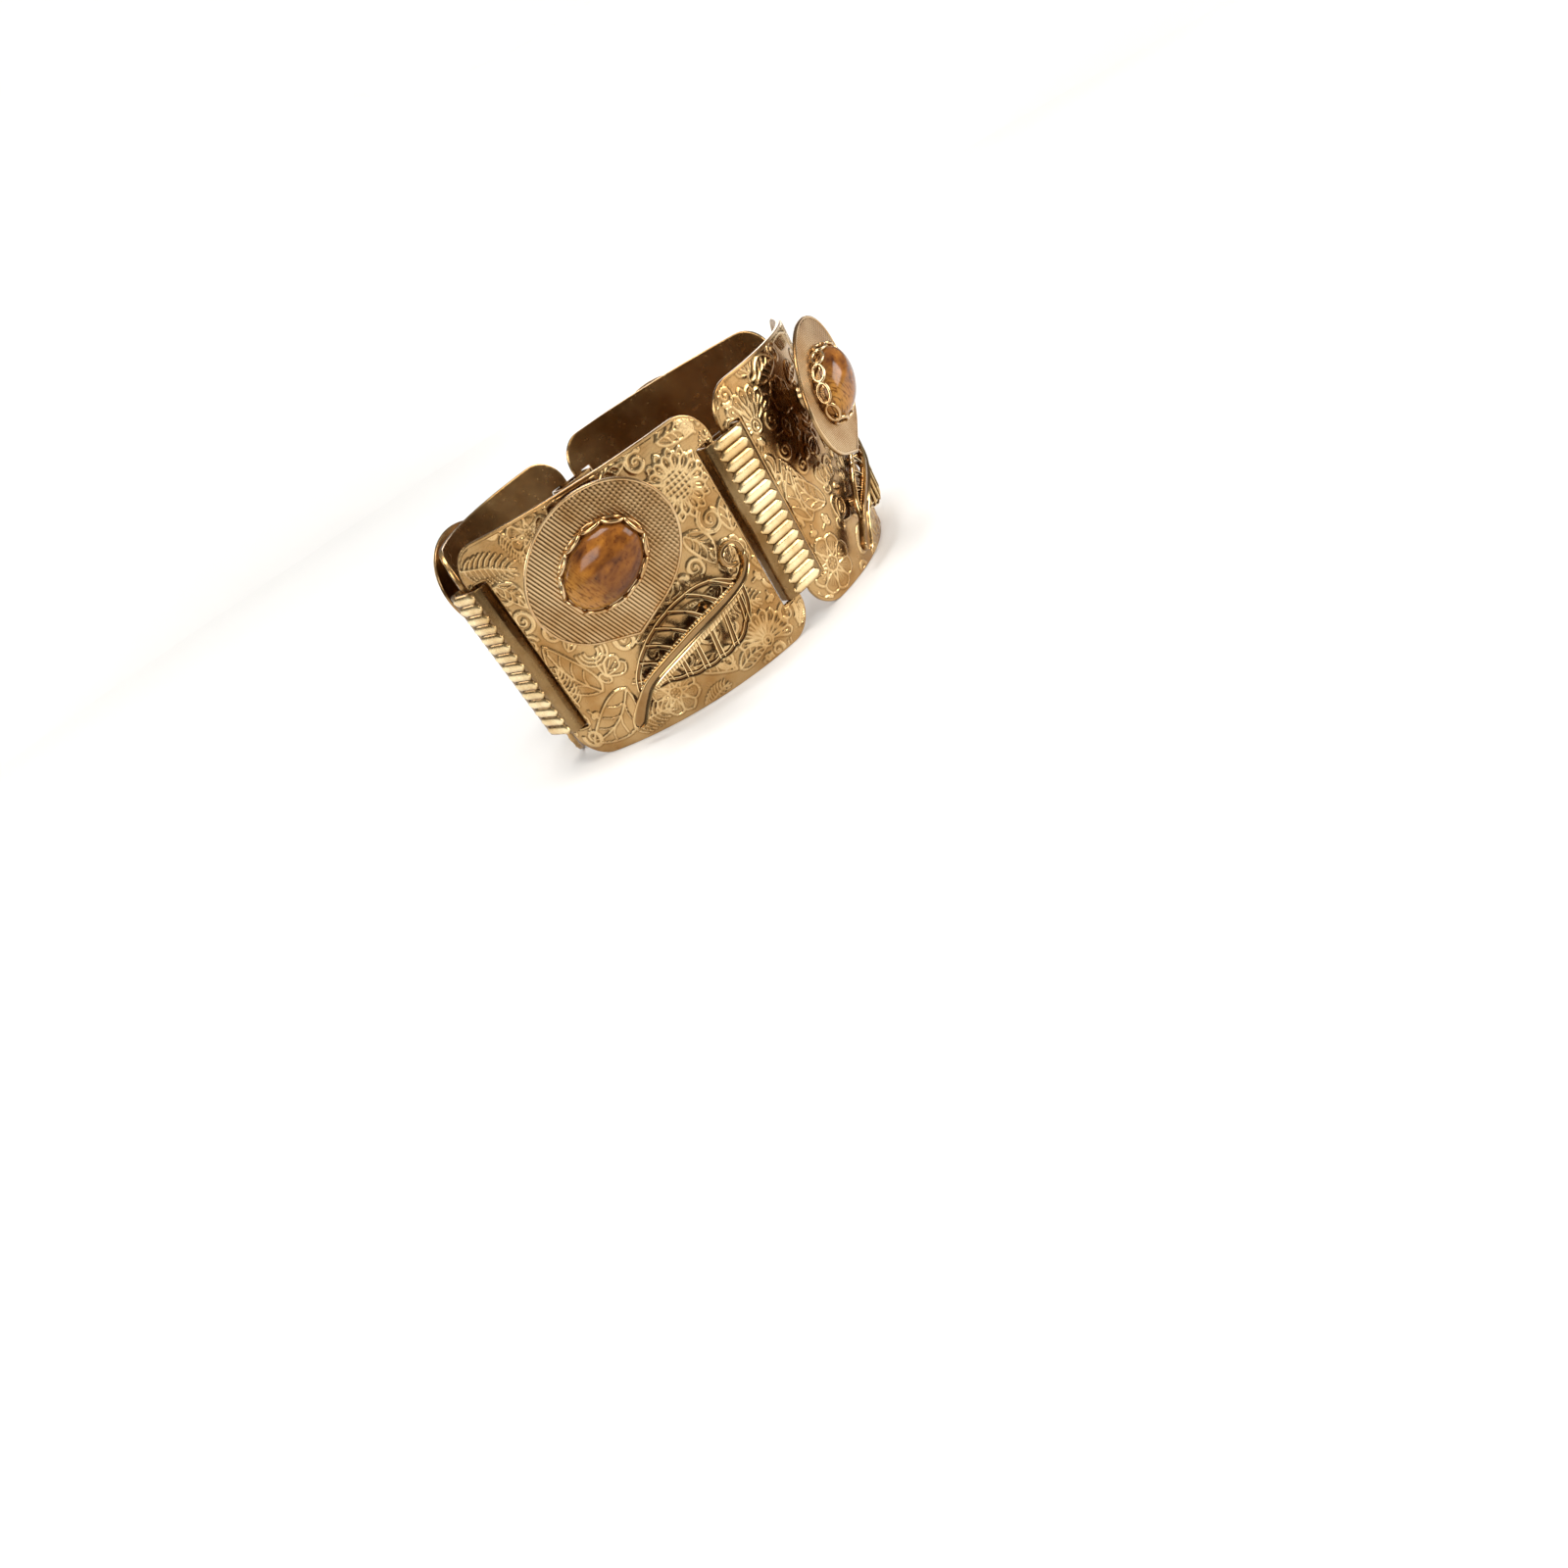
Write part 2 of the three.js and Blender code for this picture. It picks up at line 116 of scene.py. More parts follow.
CROSSED_PITCH = 1.15  # beads along a line, as a share of the lines' pitch
RIM = Sizes(inset=0.32, steps=150, half=0.19, rise=0.13, sunk=0.02)
TIP_DRAW = 1.6  # how fast the disc's tip draws in with an inset
COLLET = Sizes(inside=0.1, outside=0.16, above=0.1, round=0.1, inner_round=0.12, sunk=0.1)
STONE_FOOT = ((0.93, 0.0), (0.985, 0.08), (1.0, 0.3))  # share of the outline, height above the seat
POST_SUNK = 0.1  # a post runs this far into the disc
FILLET = ((0.35, 0.0), (0.1, 0.12), (0.0, 0.4))  # a post's foot: wider than the post by, height

SHARP_ANGLE = math.radians(38)
MERGE = 1e-4
# How finely the forms are cut.
STEPS = Sizes(
    bevel=2, curve=24, corner=12, slot=3, round=96, bead=8, ring=32, wire=10, seat=1440, collet=80,
    dome=26, midrib=240, edge=200, rim=160, web=240, vein=20, curl=60, rib_end=12, stage=14,
)


def standing(x, y, turn):
    return Matrix.Translation((x * MM, y * MM, 0)) @ Matrix.Rotation(turn, 4, "Z")


def panel_matrix(name):
    """Place of a panel's bend axis in the object."""
    side_x, side_y, heading = PANELS[name]
    to_axis = math.sqrt(RADIUS ** 2 - (CHORD / 2) ** 2)
    x = side_x * (JOINT_X + OVAL.gap / 2) / 2 - math.sin(heading) * to_axis
    y = side_y * (JOINT_Y + OVAL.gap / 2) / 2 + math.cos(heading) * to_axis
    return standing(x, y, heading)


# ---- flat shapes ----


def turned(x, y, angle):
    c, s = math.cos(angle), math.sin(angle)
    return c * x - s * y, s * x + c * y


def ellipse(long, short, turn=0.0, count=96):
    a = np.linspace(0, TURN, count, endpoint=False)
    return np.stack(turned(long * np.cos(a), short * np.sin(a), turn), 1)


def rounded_rectangle(width, height, radius, centre=(0, 0), arc_steps=8):
    points = []
    for quarter, (sx, sy) in enumerate(((1, 1), (-1, 1), (-1, -1), (1, -1))):
        for i in range(arc_steps + 1):
            a = math.pi / 2 * (quarter + i / arc_steps)
            x = centre[0] + sx * (width / 2 - radius) + radius * math.cos(a)
            y = centre[1] + sy * (height / 2 - radius) + radius * math.sin(a)
            points.append((x, y))
    return np.array(points)


def inside(loop, x, y):
    hit = np.zeros(x.shape, bool)
    for (x1, y1), (x2, y2) in zip(loop, np.roll(loop, -1, 0)):
        if y1 == y2:
            continue
        hit ^= ((y1 > y) != (y2 > y)) & (x < (x2 - x1) * (y - y1) / (y2 - y1) + x1)
    return hit


def nearest(chain, x, y, closed=True):
    """Distance to a chain of points, and the nearest point on it."""
    best = np.full(x.shape, 1e9)
    px, py = x.copy(), y.copy()
    ends = np.roll(chain, -1, 0) if closed else chain[1:]
    for (x1, y1), (x2, y2) in zip(chain, ends):
        dx, dy = x2 - x1, y2 - y1
        t = np.clip(((x - x1) * dx + (y - y1) * dy) / (dx * dx + dy * dy + 1e-12), 0, 1)
        qx, qy = x1 + t * dx, y1 + t * dy
        d = np.hypot(x - qx, y - qy)
        near = d < best
        best[near], px[near], py[near] = d[near], qx[near], qy[near]
    return best, px, py


def run_length(chain):
    """Distance along a chain of points, for each of its points."""
    return np.concatenate([[0], np.cumsum(np.linalg.norm(np.diff(chain, axis=0), axis=1))])


def directions(chain):
    """Unit tangents of an open chain of points."""
    along = np.gradient(chain, axis=0)
    return along / np.linalg.norm(along, axis=1)[:, None]


def smooth_chain(points, count):
    """A Catmull-Rom curve through the points, evenly sampled."""
    p = np.array(points, float)
    p = np.vstack([2 * p[0] - p[1], p, 2 * p[-1] - p[-2]])
    fine = []
    for i in range(1, len(p) - 2):
        for t in np.linspace(0, 1, STEPS.curve, endpoint=False):
            a = 2 * p[i] + (p[i + 1] - p[i - 1]) * t
            b = (2 * p[i - 1] - 5 * p[i] + 4 * p[i + 1] - p[i + 2]) * t ** 2
            c = (3 * p[i] - p[i - 1] - 3 * p[i + 1] + p[i + 2]) * t ** 3
            fine.append((a + b + c) / 2)
    fine = np.array([*fine, p[-2]])
    along = run_length(fine)
    places = np.linspace(0, along[-1], count)
    return np.stack([np.interp(places, along, fine[:, k]) for k in (0, 1)], 1)


def disc_outline(part):
    """A turned oval whose lower side is drawn to a tip along two tangents."""
    long, short = DISC.long - part.inset, DISC.short - part.inset
    tip = (DISC.tip[0], DISC.tip[1] + part.inset * TIP_DRAW)
    x, y = turned(*tip, -DISC.turn)
    u, v = x / long, y / short
    half = math.acos(1 / math.hypot(u, v))
    a = math.atan2(v, u) + half + (TURN - 2 * half) * np.linspace(0, 1, part.steps)
    oval = np.stack(turned(long * np.cos(a), short * np.sin(a), DISC.turn), 1)
    return np.vstack([[tip], oval])


# ---- from flat shapes to the object ----


def wrap(points):
    """x along the bend, y up and z outward, onto the panel's outer face."""
    angle = points[:, 0] / RADIUS
    reach = OUTER + points[:, 2]
    return np.stack([reach * np.sin(angle), -reach * np.cos(angle), points[:, 1]], 1)


def seat(points):
    """From the disc's flat frame to the panel's."""
    x, y = turned(points[:, 0], -points[:, 2] - OUTER, DISC.along / RADIUS)
    return np.stack([x, y, points[:, 1] + DISC.up], 1)


def signed_volume(points, faces):
    """Positive where a closed form's faces point outward."""
    p = points - points.mean(0)
    corners = np.array([(face[0], face[i], face[i + 1]) for face in faces for i in range(1, len(face) - 1)])
    return np.einsum("ij,ij->i", p[corners[:, 0]], np.cross(p[corners[:, 1]], p[corners[:, 2]])).sum()


def smooth_mesh(name, points, faces):
    mesh = bpy.data.meshes.new(name)
    mesh.from_pydata(points.tolist(), [], faces)
    mesh.polygons.foreach_set("use_smooth", [True] * len(mesh.polygons))
    return mesh


class Form:
    """Vertices, faces and one relief value a vertex, gathered from several parts.

    The mesh keeps two attributes for its material: relief, painted shade at 0 in the ground up to a painted
    highlight at 1 on the ridges, and flat, the place in millimetres before the piece is bent and set on the
    object.
    """

    def __init__(self):
        self.points, self.faces, self.heights, self.count = [], [], [], 0

    def add(self, points, faces, heights=0.5, solid=True):
        points = np.asarray(points, float)
        if solid and signed_volume(points, faces) < 0:
            faces = [face[::-1] for face in faces]
        self.points.append(points)
        self.faces.extend([[i + self.count for i in face] for face in faces])
        self.heights.append(np.zeros(len(points)) + heights)
        self.count += len(points)
        return self

    def mesh(self, name, place=lambda p: p):
        flat = np.vstack(self.points)
        mesh = smooth_mesh(name, place(flat) * MM, self.faces)
        mesh.set_sharp_from_angle(angle=SHARP_ANGLE)
        height = mesh.attributes.new("relief", "FLOAT", "POINT")
        height.data.foreach_set("value", np.concatenate(self.heights))
        opened = mesh.attributes.new("flat", "FLOAT_VECTOR", "POINT")
        opened.data.foreach_set("vector", flat.ravel())
        mesh.update()
        return mesh


def add_object(name, data):
    thing = bpy.data.objects.new(name, data)
    bpy.context.scene.collection.objects.link(thing)
    return thing


def show(name, mesh, material, matrix, node):
    """One piece of the bracelet, standing for its CAD node."""
    placed = mesh.copy()
    placed.transform(matrix)
    placed.materials.append(material)
    piece = add_object(name, placed)
    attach(piece, "root")
    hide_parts(node)


def plate(loops, low, high, bevel, cuts=()):
    """A flat plate with holes and rounded edges, cut across at the given x so that it can bend."""
    curve = bpy.data.curves.new("outline", "CURVE")
    curve.dimensions = "2D"
    curve.fill_mode = "BOTH"
    for loop in loops:
        spline = curve.splines.new("POLY")
        spline.points.add(len(loop) - 1)
        for point, (x, y) in zip(spline.points, loop):
            point.co = (x, y, 0, 1)
        spline.use_cyclic_u = True
    curve.extrude = (high - low) / 2 - bevel
    curve.bevel_depth = bevel
    curve.bevel_resolution = STEPS.bevel
    curve.offset = -bevel
    holder = add_object("outline", curve)
    graph = bpy.context.evaluated_depsgraph_get()
    mesh = bpy.data.meshes.new_from_object(holder.evaluated_get(graph))
    bm = bmesh.new()
    bm.from_mesh(mesh)
    bmesh.ops.remove_doubles(bm, verts=bm.verts, dist=MERGE)
    for x in cuts:
        everything = bm.verts[:] + bm.edges[:] + bm.faces[:]
        bmesh.ops.bisect_plane(bm, geom=everything, plane_co=(x, 0, 0), plane_no=(1, 0, 0), dist=MERGE)
    bmesh.ops.recalc_face_normals(bm, faces=bm.faces)
    bm.verts.index_update()
    points = np.array([v.co for v in bm.verts]) + np.array([0, 0, (low + high) / 2])
    faces = [[v.index for v in face.verts] for face in bm.faces]
    bm.free()
    bpy.data.objects.remove(holder)
    bpy.data.curves.remove(curve)
    bpy.data.meshes.remove(mesh)
    return points, faces


def sheet(loops, pitch_x, pitch_y, turn=0.0):
    """A fine grid over a flat shape with holes; its border points are moved onto the outlines."""
    outer = loops[0]
    u, v = turned(outer[:, 0], outer[:, 1], -turn)
    us = np.arange(u.min() - pitch_x, u.max() + 2 * pitch_x, pitch_x)
    vs = np.arange(v.min() - pitch_y, v.max() + 2 * pitch_y, pitch_y)
    x, y = turned(*np.meshgrid(us, vs, indexing="ij"), turn)
    within = inside(outer, x, y)
    for hole in loops[1:]:
        within &= ~inside(hole, x, y)
    cells = within[:-1, :-1] | within[1:, :-1] | within[:-1, 1:] | within[1:, 1:]
    used = np.zeros(x.shape, bool)
    for di in (0, 1):
        for dj in (0, 1):
            used[di:used.shape[0] - 1 + di, dj:used.shape[1] - 1 + dj] |= cells
    border = used & ~within
    found = np.array([nearest(loop, x[border], y[border]) for loop in loops])
    closest = found[:, 0].argmin(0)
    x[border], y[border] = found[closest, 1:, np.arange(len(closest))].T
    index = np.full(x.shape, -1)
    index[used] = np.arange(used.sum())
    i, j = np.nonzero(cells)
    faces = np.stack([index[i, j], index[i + 1, j], index[i + 1, j + 1], index[i, j + 1]], 1)
    return x[used], y[used], border[used], faces.tolist()


def sweep(rings, closed_path=False, caps=True):
    """Quads between rings of equal length, with flat ends."""
    rings = np.asarray(rings, float)
    count, size = rings.shape[0], rings.shape[1]
    faces = []
    for i in range(count if closed_path else count - 1):
        k = (i + 1) % count
        for j in range(size):
            m = (j + 1) % size
            faces.append([i * size + j, i * size + m, k * size + m, k * size + j])
    if caps and not closed_path:
        faces.append(list(range(size))[::-1])
        faces.append([(count - 1) * size + j for j in range(size)])
    return rings.reshape(-1, 3), faces


def circles(profile, steps, x=0, y=0):
    """Level rings round a place, one for each radius and height."""
    a = np.linspace(0, TURN, steps, endpoint=False)
    return [np.stack([x + r * np.cos(a), y + r * np.sin(a), np.full(steps, z)], 1) for r, z in profile]


def post(x, y, top, radius, sides=24):
    """A round pillar on the panel, with a small fillet at its foot."""
    foot = [(radius + wider, z) for wider, z in FILLET]
    return sweep(circles([*foot, (radius, top)], sides, x, y))


# ---- relief drawn on a grid ----


class Relief:
    """Ridges, padded patches and painted shade along the feet of ridges, on scattered grid points, in
    millimetres.
    """

    def __init__(self, x, y):
        self.x, self.y = x, y
        self.pad, self.ridge, self.foot = np.zeros((3, len(x)))
        self.plain = np.zeros(len(x), bool)

    def near(self, points, margin):
        low, high = points.min(0) - margin, points.max(0) + margin
        hit = (self.x > low[0]) & (self.x < high[0]) & (self.y > low[1]) & (self.y < high[1])
        return np.nonzero(hit)[0]

    def line(self, points, width=LINE_WIDTH, height=LINE_HEIGHT, closed=False):
        ids = self.near(points, width + PAINTED_SHADE_WIDTH)
        d, _, _ = nearest(points, self.x[ids], self.y[ids], closed)
        rise = height * np.clip(1 - (d / width) ** 2, 0, 1) ** 1.5
        self.ridge[ids] = np.maximum(self.ridge[ids], rise)
        # painted shade: a dark band along the ridge's foot
        foot = height / LINE_HEIGHT * np.clip(1 - np.abs(d - width) / PAINTED_SHADE_WIDTH, 0, 1)
        self.foot[ids] = np.maximum(self.foot[ids], foot)

    def patch(self, loop, swell=PATCH_SWELL):
        """Clears what lies under a shape and pads it up with rounded edges."""
        ids = self.near(loop, 0)
        ids = ids[inside(loop, self.x[ids], self.y[ids])]
        d, _, _ = nearest(loop, self.x[ids], self.y[ids], True)
        part = 1 - np.clip(d / SWELL_WIDTH, 0, 1)
        self.pad[ids] = PATCH_HEIGHT + swell * np.sqrt(1 - part ** 2)
        self.ridge[ids] = 0
        self.foot[ids] = 0
        self.plain[ids] = True

    def bare(self, x, y, reach):
        """True where nothing has been drawn within reach of a place on the sheet."""
        ids = self.near(np.array([[x, y]]), reach)
        ids = ids[np.hypot(self.x[ids] - x, self.y[ids] - y) < reach]
        return len(ids) > 0 and not (self.plain[ids] | (self.ridge[ids] > BARE_RIDGE)).any()

    def height(self):
        return self.pad + self.ridge

    def tone(self):
        """Painted shade and highlight: 0 in the painted shade at the feet of ridges, 0.5 on plain ground
        and 1, a painted highlight, on the ridges.
        """
        lift = np.clip(self.ridge / LINE_HEIGHT, 0, 1)
        return np.clip(0.5 + 0.5 * lift - 0.5 * self.foot * (1 - lift), 0, 1)


class Pen:
    """Draws on a relief in a motif's own frame: its size is 1 and it points along +x."""

    def __init__(self, relief, x, y, size, turn):
        self.relief, self.x, self.y, self.size, self.turn = relief, x, y, size, math.radians(turn)

    def place(self, points):
        p = np.asarray(points, float) * self.size
        c, s = math.cos(self.turn), math.sin(self.turn)
        return np.stack([self.x + c * p[:, 0] - s * p[:, 1], self.y + s * p[:, 0] + c * p[:, 1]], 1)

    def line(self, points, closed=False, **kind):
        self.relief.line(self.place(points), closed=closed, **kind)

    def shape(self, loop, **kind):
        """A padded shape with a line round it."""
        self.relief.patch(self.place(loop), **kind)
        self.line(loop, closed=True)


def petal(length, width, start=0.0, blunt=0.5, count=15):
    """The outline of a petal along +x; blunt moves its widest place to the tip."""
    t = np.linspace(0, 1, count)
    half = width / 2 * np.sin(np.pi * t ** (1 + blunt)) ** 0.75
    x = start + (length - start) * t
    return np.vstack([np.stack([x, half], 1), np.stack([x, -half], 1)[::-1]])


def arc(radius, angles):
    return np.stack([radius * np.cos(angles), radius * np.sin(angles)], 1)


def spin(points, degrees):
    return np.stack(turned(*np.asarray(points, float).T, math.radians(degrees)), 1)


def sunflower(pen, petals=15):
    """Two rows of narrow petals round a crosshatched heart."""
    for row, reach in enumerate((1.0, 0.86)):
        for i in range(petals):
            at = 360 * (i + row / 2) / petals
            pen.shape(spin(petal(reach, 0.24, 0.36), at))
            pen.line(spin([(0.5, 0), (0.8 * reach, 0)], at), width=0.16)
    pen.shape(ellipse(0.42, 0.42, count=28), swell=0.02)
    for k in (-0.3, -0.15, 0.0, 0.15, 0.3):
        reach = math.sqrt(0.4 ** 2 - k * k)
        pen.line([(-reach, k), (reach, k)])
        pen.line([(k, -reach), (k, reach)])


def daisy(pen, petals=8, beads=6):
    """Round petals, each with three veins, round a beaded heart."""
    for i in range(petals):
        at = 360 * i / petals
        pen.shape(spin(petal(1.0, 0.62, 0.2, 0.9), at))
        for lean in (-9, 0, 9):
            pen.line(spin([(0.42, 0), (0.72, 0)], at + lean), width=0.14, height=0.07)
    pen.shape(ellipse(0.27, 0.27, count=20))
    for x, y in ellipse(0.14, 0.14, count=beads):
        pen.line([(x, y), (x + 0.01, y)], width=0.24, height=0.12)


def leaf(pen, bow=0.12):
    """A pointed leaf with a bowed midrib and paired veins."""
    t = np.linspace(0, 1, 17)
    spine = np.stack([t, bow * np.sin(np.pi * t)], 1)
    half = 0.25 * np.sin(np.pi * t ** 0.8) ** 0.8
    side = np.stack([0 * t, half], 1)
    pen.shape(np.vstack([spine + side, (spine - side)[::-1]]))
    pen.line(spine[:-2])
    for i in range(3, 15, 3):
        for sign in (-1, 1):
            j = min(i + 3, 16)
            end = spine[j] + (0, sign * half[j] * 0.8)
            mid = (spine[i] + end) / 2 + (0.02, -sign * 0.02)
            pen.line(smooth_chain([spine[i], mid, end], 8), width=0.18)


def fern(pen, barbs=9):
    """A stem with curved barbs on both sides."""
    pen.line(smooth_chain([(0, 0), (0.5, 0.06), (1, 0)], 20))
    for i in range(barbs):
        at = 0.08 + 0.86 * i / barbs
        reach = 0.26 * math.sin(math.pi * (0.25 + 0.7 * at))
        base = np.array([at, 0.06 * math.sin(math.pi * at)])
        for side in (-1, 1):
            barb = [base, base + (0.06, side * reach * 0.55), base + (0.17, side * reach)]
            pen.line(smooth_chain(barb, 8), width=0.2)


def scroll(pen, turns=1.4):
    """A tendril that winds in to a bead, with a second line along its outside."""
    a = np.linspace(0, TURN * turns, 40)
    for offset, count in ((0.0, 40), (0.2, 24)):
        r = 1 - 0.72 * a / a[-1] + offset
        pen.line(arc(r, a)[:count])
    pen.line([(0.02, 0), (0.0, 0.02)], width=0.34)


def fan(pen, blades=9, spread=170):
    """A palmette: round-ended blades that spread from one point."""
    for i in range(blades):
        at = spread * (i / (blades - 1) - 0.5)
        pen.shape(spin(petal(1.0, 0.3, 0.18, 1.6), at))
        pen.line(spin([(0.35, 0), (0.8, 0)], at), width=0.18)
    for r in (0.1, 0.2):
        pen.line(ellipse(r, r, count=16), closed=True)


def scallops(pen):
    """Three arches inside each other."""
    a = np.linspace(-0.1, math.pi + 0.1, 18)
    for r in (0.45, 0.72, 1.0):
        pen.line(arc(r, a))


def bud(pen):
    """A closed flower: three overlapping petals on a cup."""
    for lean in (-26, 26, 0):
        pen.shape(spin(petal(1.0, 0.55, 0.1, 0.6), lean))
    for lean in (-8, 8):
        pen.line(spin([(0.4, 0), (0.8, 0)], lean), width=0.16)
    pen.line(ellipse(0.16, 0.24, count=16), closed=True)


# Each row: motif, x, y, size, turn in degrees. Later rows lie over earlier ones.
MOTIFS_A = (
    (fern, -20.6, 34.2, 8.6, -22), (fern, -11.6, 36.4, 5.0, -80), (daisy, -8.0, 34.3, 3.2, 12),
    (scroll, -3.6, 35.4, 1.4, 200), (fern, -1.5, 36.4, 7.5, -6), (leaf, 3.2, 35.2, 5.0, 8),
    (scroll, 9.2, 35.0, 1.5, 40), (leaf, 13.2, 35.6, 6.0, -16), (sunflower, 12.8, 29.4, 5.0, 5),
    (fern, 19.4, 27.6, 5.4, 76), (scroll, 14.4, 22.8, 1.9, 120), (leaf, 16.6, 19.6, 6.0, 62),
    (leaf, 9.6, 23.2, 6.4, -70), (daisy, 14.6, 16.6, 2.8, 10), (scroll, -16.6, 28.6, 1.7, 30),
    (leaf, -17.0, 30.4, 5.4, -62), (scroll, -16.6, 24.2, 1.6, 250), (leaf, -12.3, 9.8, 10.6, 113),
    (fern, -17.2, 9.0, 7.0, 86), (leaf, -9.0, 8.6, 11.5, 212), (bud, -10.8, 11.4, 4.0, 38),
    (scallops, -10.4, 16.0, 2.4, 180), (scroll, -5.0, 15.2, 1.6, 80), (leaf, -4.0, 14.0, 6.5, 14),
    (daisy, -3.2, 4.4, 3.6, 20), (fern, -12.0, 2.0, 7.5, 6), (leaf, 1.2, 6.4, 6.5, -38),
    (scroll, 5.8, 4.6, 1.7, 10), (fan, 12.6, 3.2, 4.6, 72), (leaf, 6.8, 2.0, 5.2, 6),
    (fern, 8.4, 11.4, 7.0, -22), (scroll, 17.6, 4.6, 1.7, 300), (fern, 18.4, 1.6, 4.0, 40),
    (scroll, -18.4, 3.4, 1.5, 160), (bud, 2.6, 16.4, 3.4, 60), (fern, 19.2, 33.6, 3.6, 120),
)
MOTIFS_B = (
    (fan, -15.8, 29.0, 5.6, 108), (fern, -19.6, 22.0, 7.0, 84), (leaf, -11.4, 33.4, 6.6, 8),
    (scroll, -3.8, 35.2, 1.5, 30), (fern, -2.0, 36.2, 8.0, -5), (daisy, 8.6, 34.4, 3.0, 4),
    (leaf, 12.0, 34.6, 7.0, -18), (sunflower, 13.6, 28.2, 4.8, 0), (fern, 19.3, 26.0, 6.0, 82),
    (scroll, 13.2, 21.8, 1.9, 60), (leaf, 17.6, 12.6, 8.0, 96), (leaf, 9.4, 23.0, 6.0, -64),
    (daisy, 13.6, 16.8, 2.7, 10), (leaf, -12.4, 13.2, 10.0, 104), (leaf, -14.8, 12.6, 9.0, 84),
    (leaf, -10.2, 13.0, 7.6, 122), (bud, -8.0, 14.2, 4.0, 70), (scroll, -4.6, 16.2, 1.7, 10),
    (daisy, -15.4, 5.2, 4.6, 8), (bud, -9.2, 8.6, 4.6, 40), (fern, -19.4, 9.0, 5.0, 86),
    (leaf, -8.0, 2.6, 7.4, 10), (daisy, 2.6, 4.0, 3.4, 0), (scroll, -2.6, 8.4, 1.6, 200),
    (leaf, 6.0, 2.4, 6.6, 8), (scroll, 9.0, 7.2, 1.7, 100), (fan, 15.0, 2.8, 4.4, 84),
    (fern, 7.0, 12.0, 7.0, -12), (leaf, 1.0, 13.4, 6.0, 30), (scroll, 19.2, 5.2, 1.2, 0),
    (fern, 17.6, 34.6, 3.8, -40), (scroll, -18.4, 35.0, 1.2, 220),
)


def commas(pen):
    """Two short curved strokes side by side."""
    for off in (-0.35, 0.35):
        pen.line(smooth_chain([(-0.9, off), (0, off + 0.3), (0.9, off)], 8), width=0.2)


def sprig(pen):
    """Three small petals on a short stalk."""
    pen.line([(-0.9, 0), (-0.1, 0)])
    for lean in (-48, 0, 48):
        pen.line(spin(petal(0.95, 0.42, 0.0, 0.7), lean), closed=True)


# Each row: how far from other work, tries, motifs drawn from their middle, motifs drawn along +x.
FILLERS = (
    (2.7, 90, (daisy,), (leaf, fern)),
    (1.9, 180, (scroll, sprig), (leaf, bud)),
    (1.3, 300, (scroll, sprig), (leaf,)),
    (0.9, 500, (commas, sprig), (leaf,)),
)


def fill(relief, draw):
    """Fills the bare ground with ever smaller leaves, curls and strokes."""
    for reach, tries, round_motifs, long_motifs in FILLERS:
        kinds = round_motifs + long_motifs
        for _ in range(tries):
            x, y = draw.uniform(-HALF_LENGTH, HALF_LENGTH), draw.uniform(0, HEIGHT)
            turn = draw.uniform(0, 360)
            kind = kinds[draw.integers(len(kinds))]
            if not relief.bare(x, y, reach):
                continue
            if kind in round_motifs:
                kind(Pen(relief, x, y, reach, turn))
                continue
            a = math.radians(turn)
            kind(Pen(relief, x - reach * math.cos(a), y - reach * math.sin(a), 2 * reach, turn))


def stipple(relief, draw):
    """Small beads over the ground that no motif covers."""
    pitch = STIPPLE.pitch
    columns = math.ceil(2 * HALF_LENGTH / pitch)
    rows = math.ceil(HEIGHT / pitch)
    u = (relief.x + HALF_LENGTH) / pitch
    v = relief.y / pitch
    shift_u = draw.uniform(*STIPPLE.places, (columns + 3, rows + 3))
    shift_v = draw.uniform(*STIPPLE.places, (columns + 3, rows + 3))
    i = np.clip(np.floor(u).astype(int), 0, columns + 2)
    j = np.clip(np.floor(v).astype(int), 0, rows + 2)
    d = np.hypot(u - i - shift_u[i, j], v - j - shift_v[i, j])
    bead = STIPPLE.height * np.clip(1 - (d / STIPPLE.radius) ** 2, 0, 1)
    ground = ~relief.plain
    relief.pad[ground] = np.maximum(relief.pad[ground], bead[ground])


def waves(relief, draw):
    """A faint unevenness of the whole sheet, as hand rolling leaves it."""
    for _ in range(WAVES.count):
        bearing, start = draw.uniform(0, TURN, 2)
        pace = TURN / draw.uniform(*WAVES.length)
        across = relief.x * math.cos(bearing) + relief.y * math.sin(bearing)
        relief.pad += WAVES.height * (1 + np.sin(pace * across + start))


# ---- pieces ----


def slot_loops(margin):
    middle = HALF_LENGTH - SLOT.bar - SLOT.width / 2
    size = (SLOT.width + 2 * margin, SLOT.length + 2 * margin)
    corner = SLOT.corner + margin
    return [rounded_rectangle(*size, corner, (side * middle, HEIGHT / 2), STEPS.slot) for side in (-1, 1)]


def panel_form(motifs, seed):
    """A bent plate with a polished edge, and its engraved face."""
    form = Form()
    centre = (0, HEIGHT / 2)
    outline = rounded_rectangle(2 * HALF_LENGTH, HEIGHT, CORNER, centre, STEPS.corner)
    cuts = np.linspace(-HALF_LENGTH, HALF_LENGTH, BEND_CUTS + 2)[1:-1]
    form.add(*plate([outline, *slot_loops(0)], -THICKNESS, 0, PANEL_BEVEL, cuts))
    edge = FACE.edge
    size = (2 * (HALF_LENGTH - edge), HEIGHT - 2 * edge)
    face = rounded_rectangle(*size, CORNER - edge, centre, STEPS.corner)
    x, y, border, faces = sheet([face, *slot_loops(FACE.slot_edge)], FACE.pitch, FACE.pitch)
    relief = Relief(x, y)
    for motif, *where in motifs:
        motif(Pen(relief, *where))
    draw = np.random.default_rng(seed)
    fill(relief, draw)
    stipple(relief, draw)
    waves(relief, draw)
    z = FACE.rise + relief.height()
    z[border] = -FACE.sunk
    return form.add(np.stack([x, y, z], 1), faces, relief.tone(), solid=False)


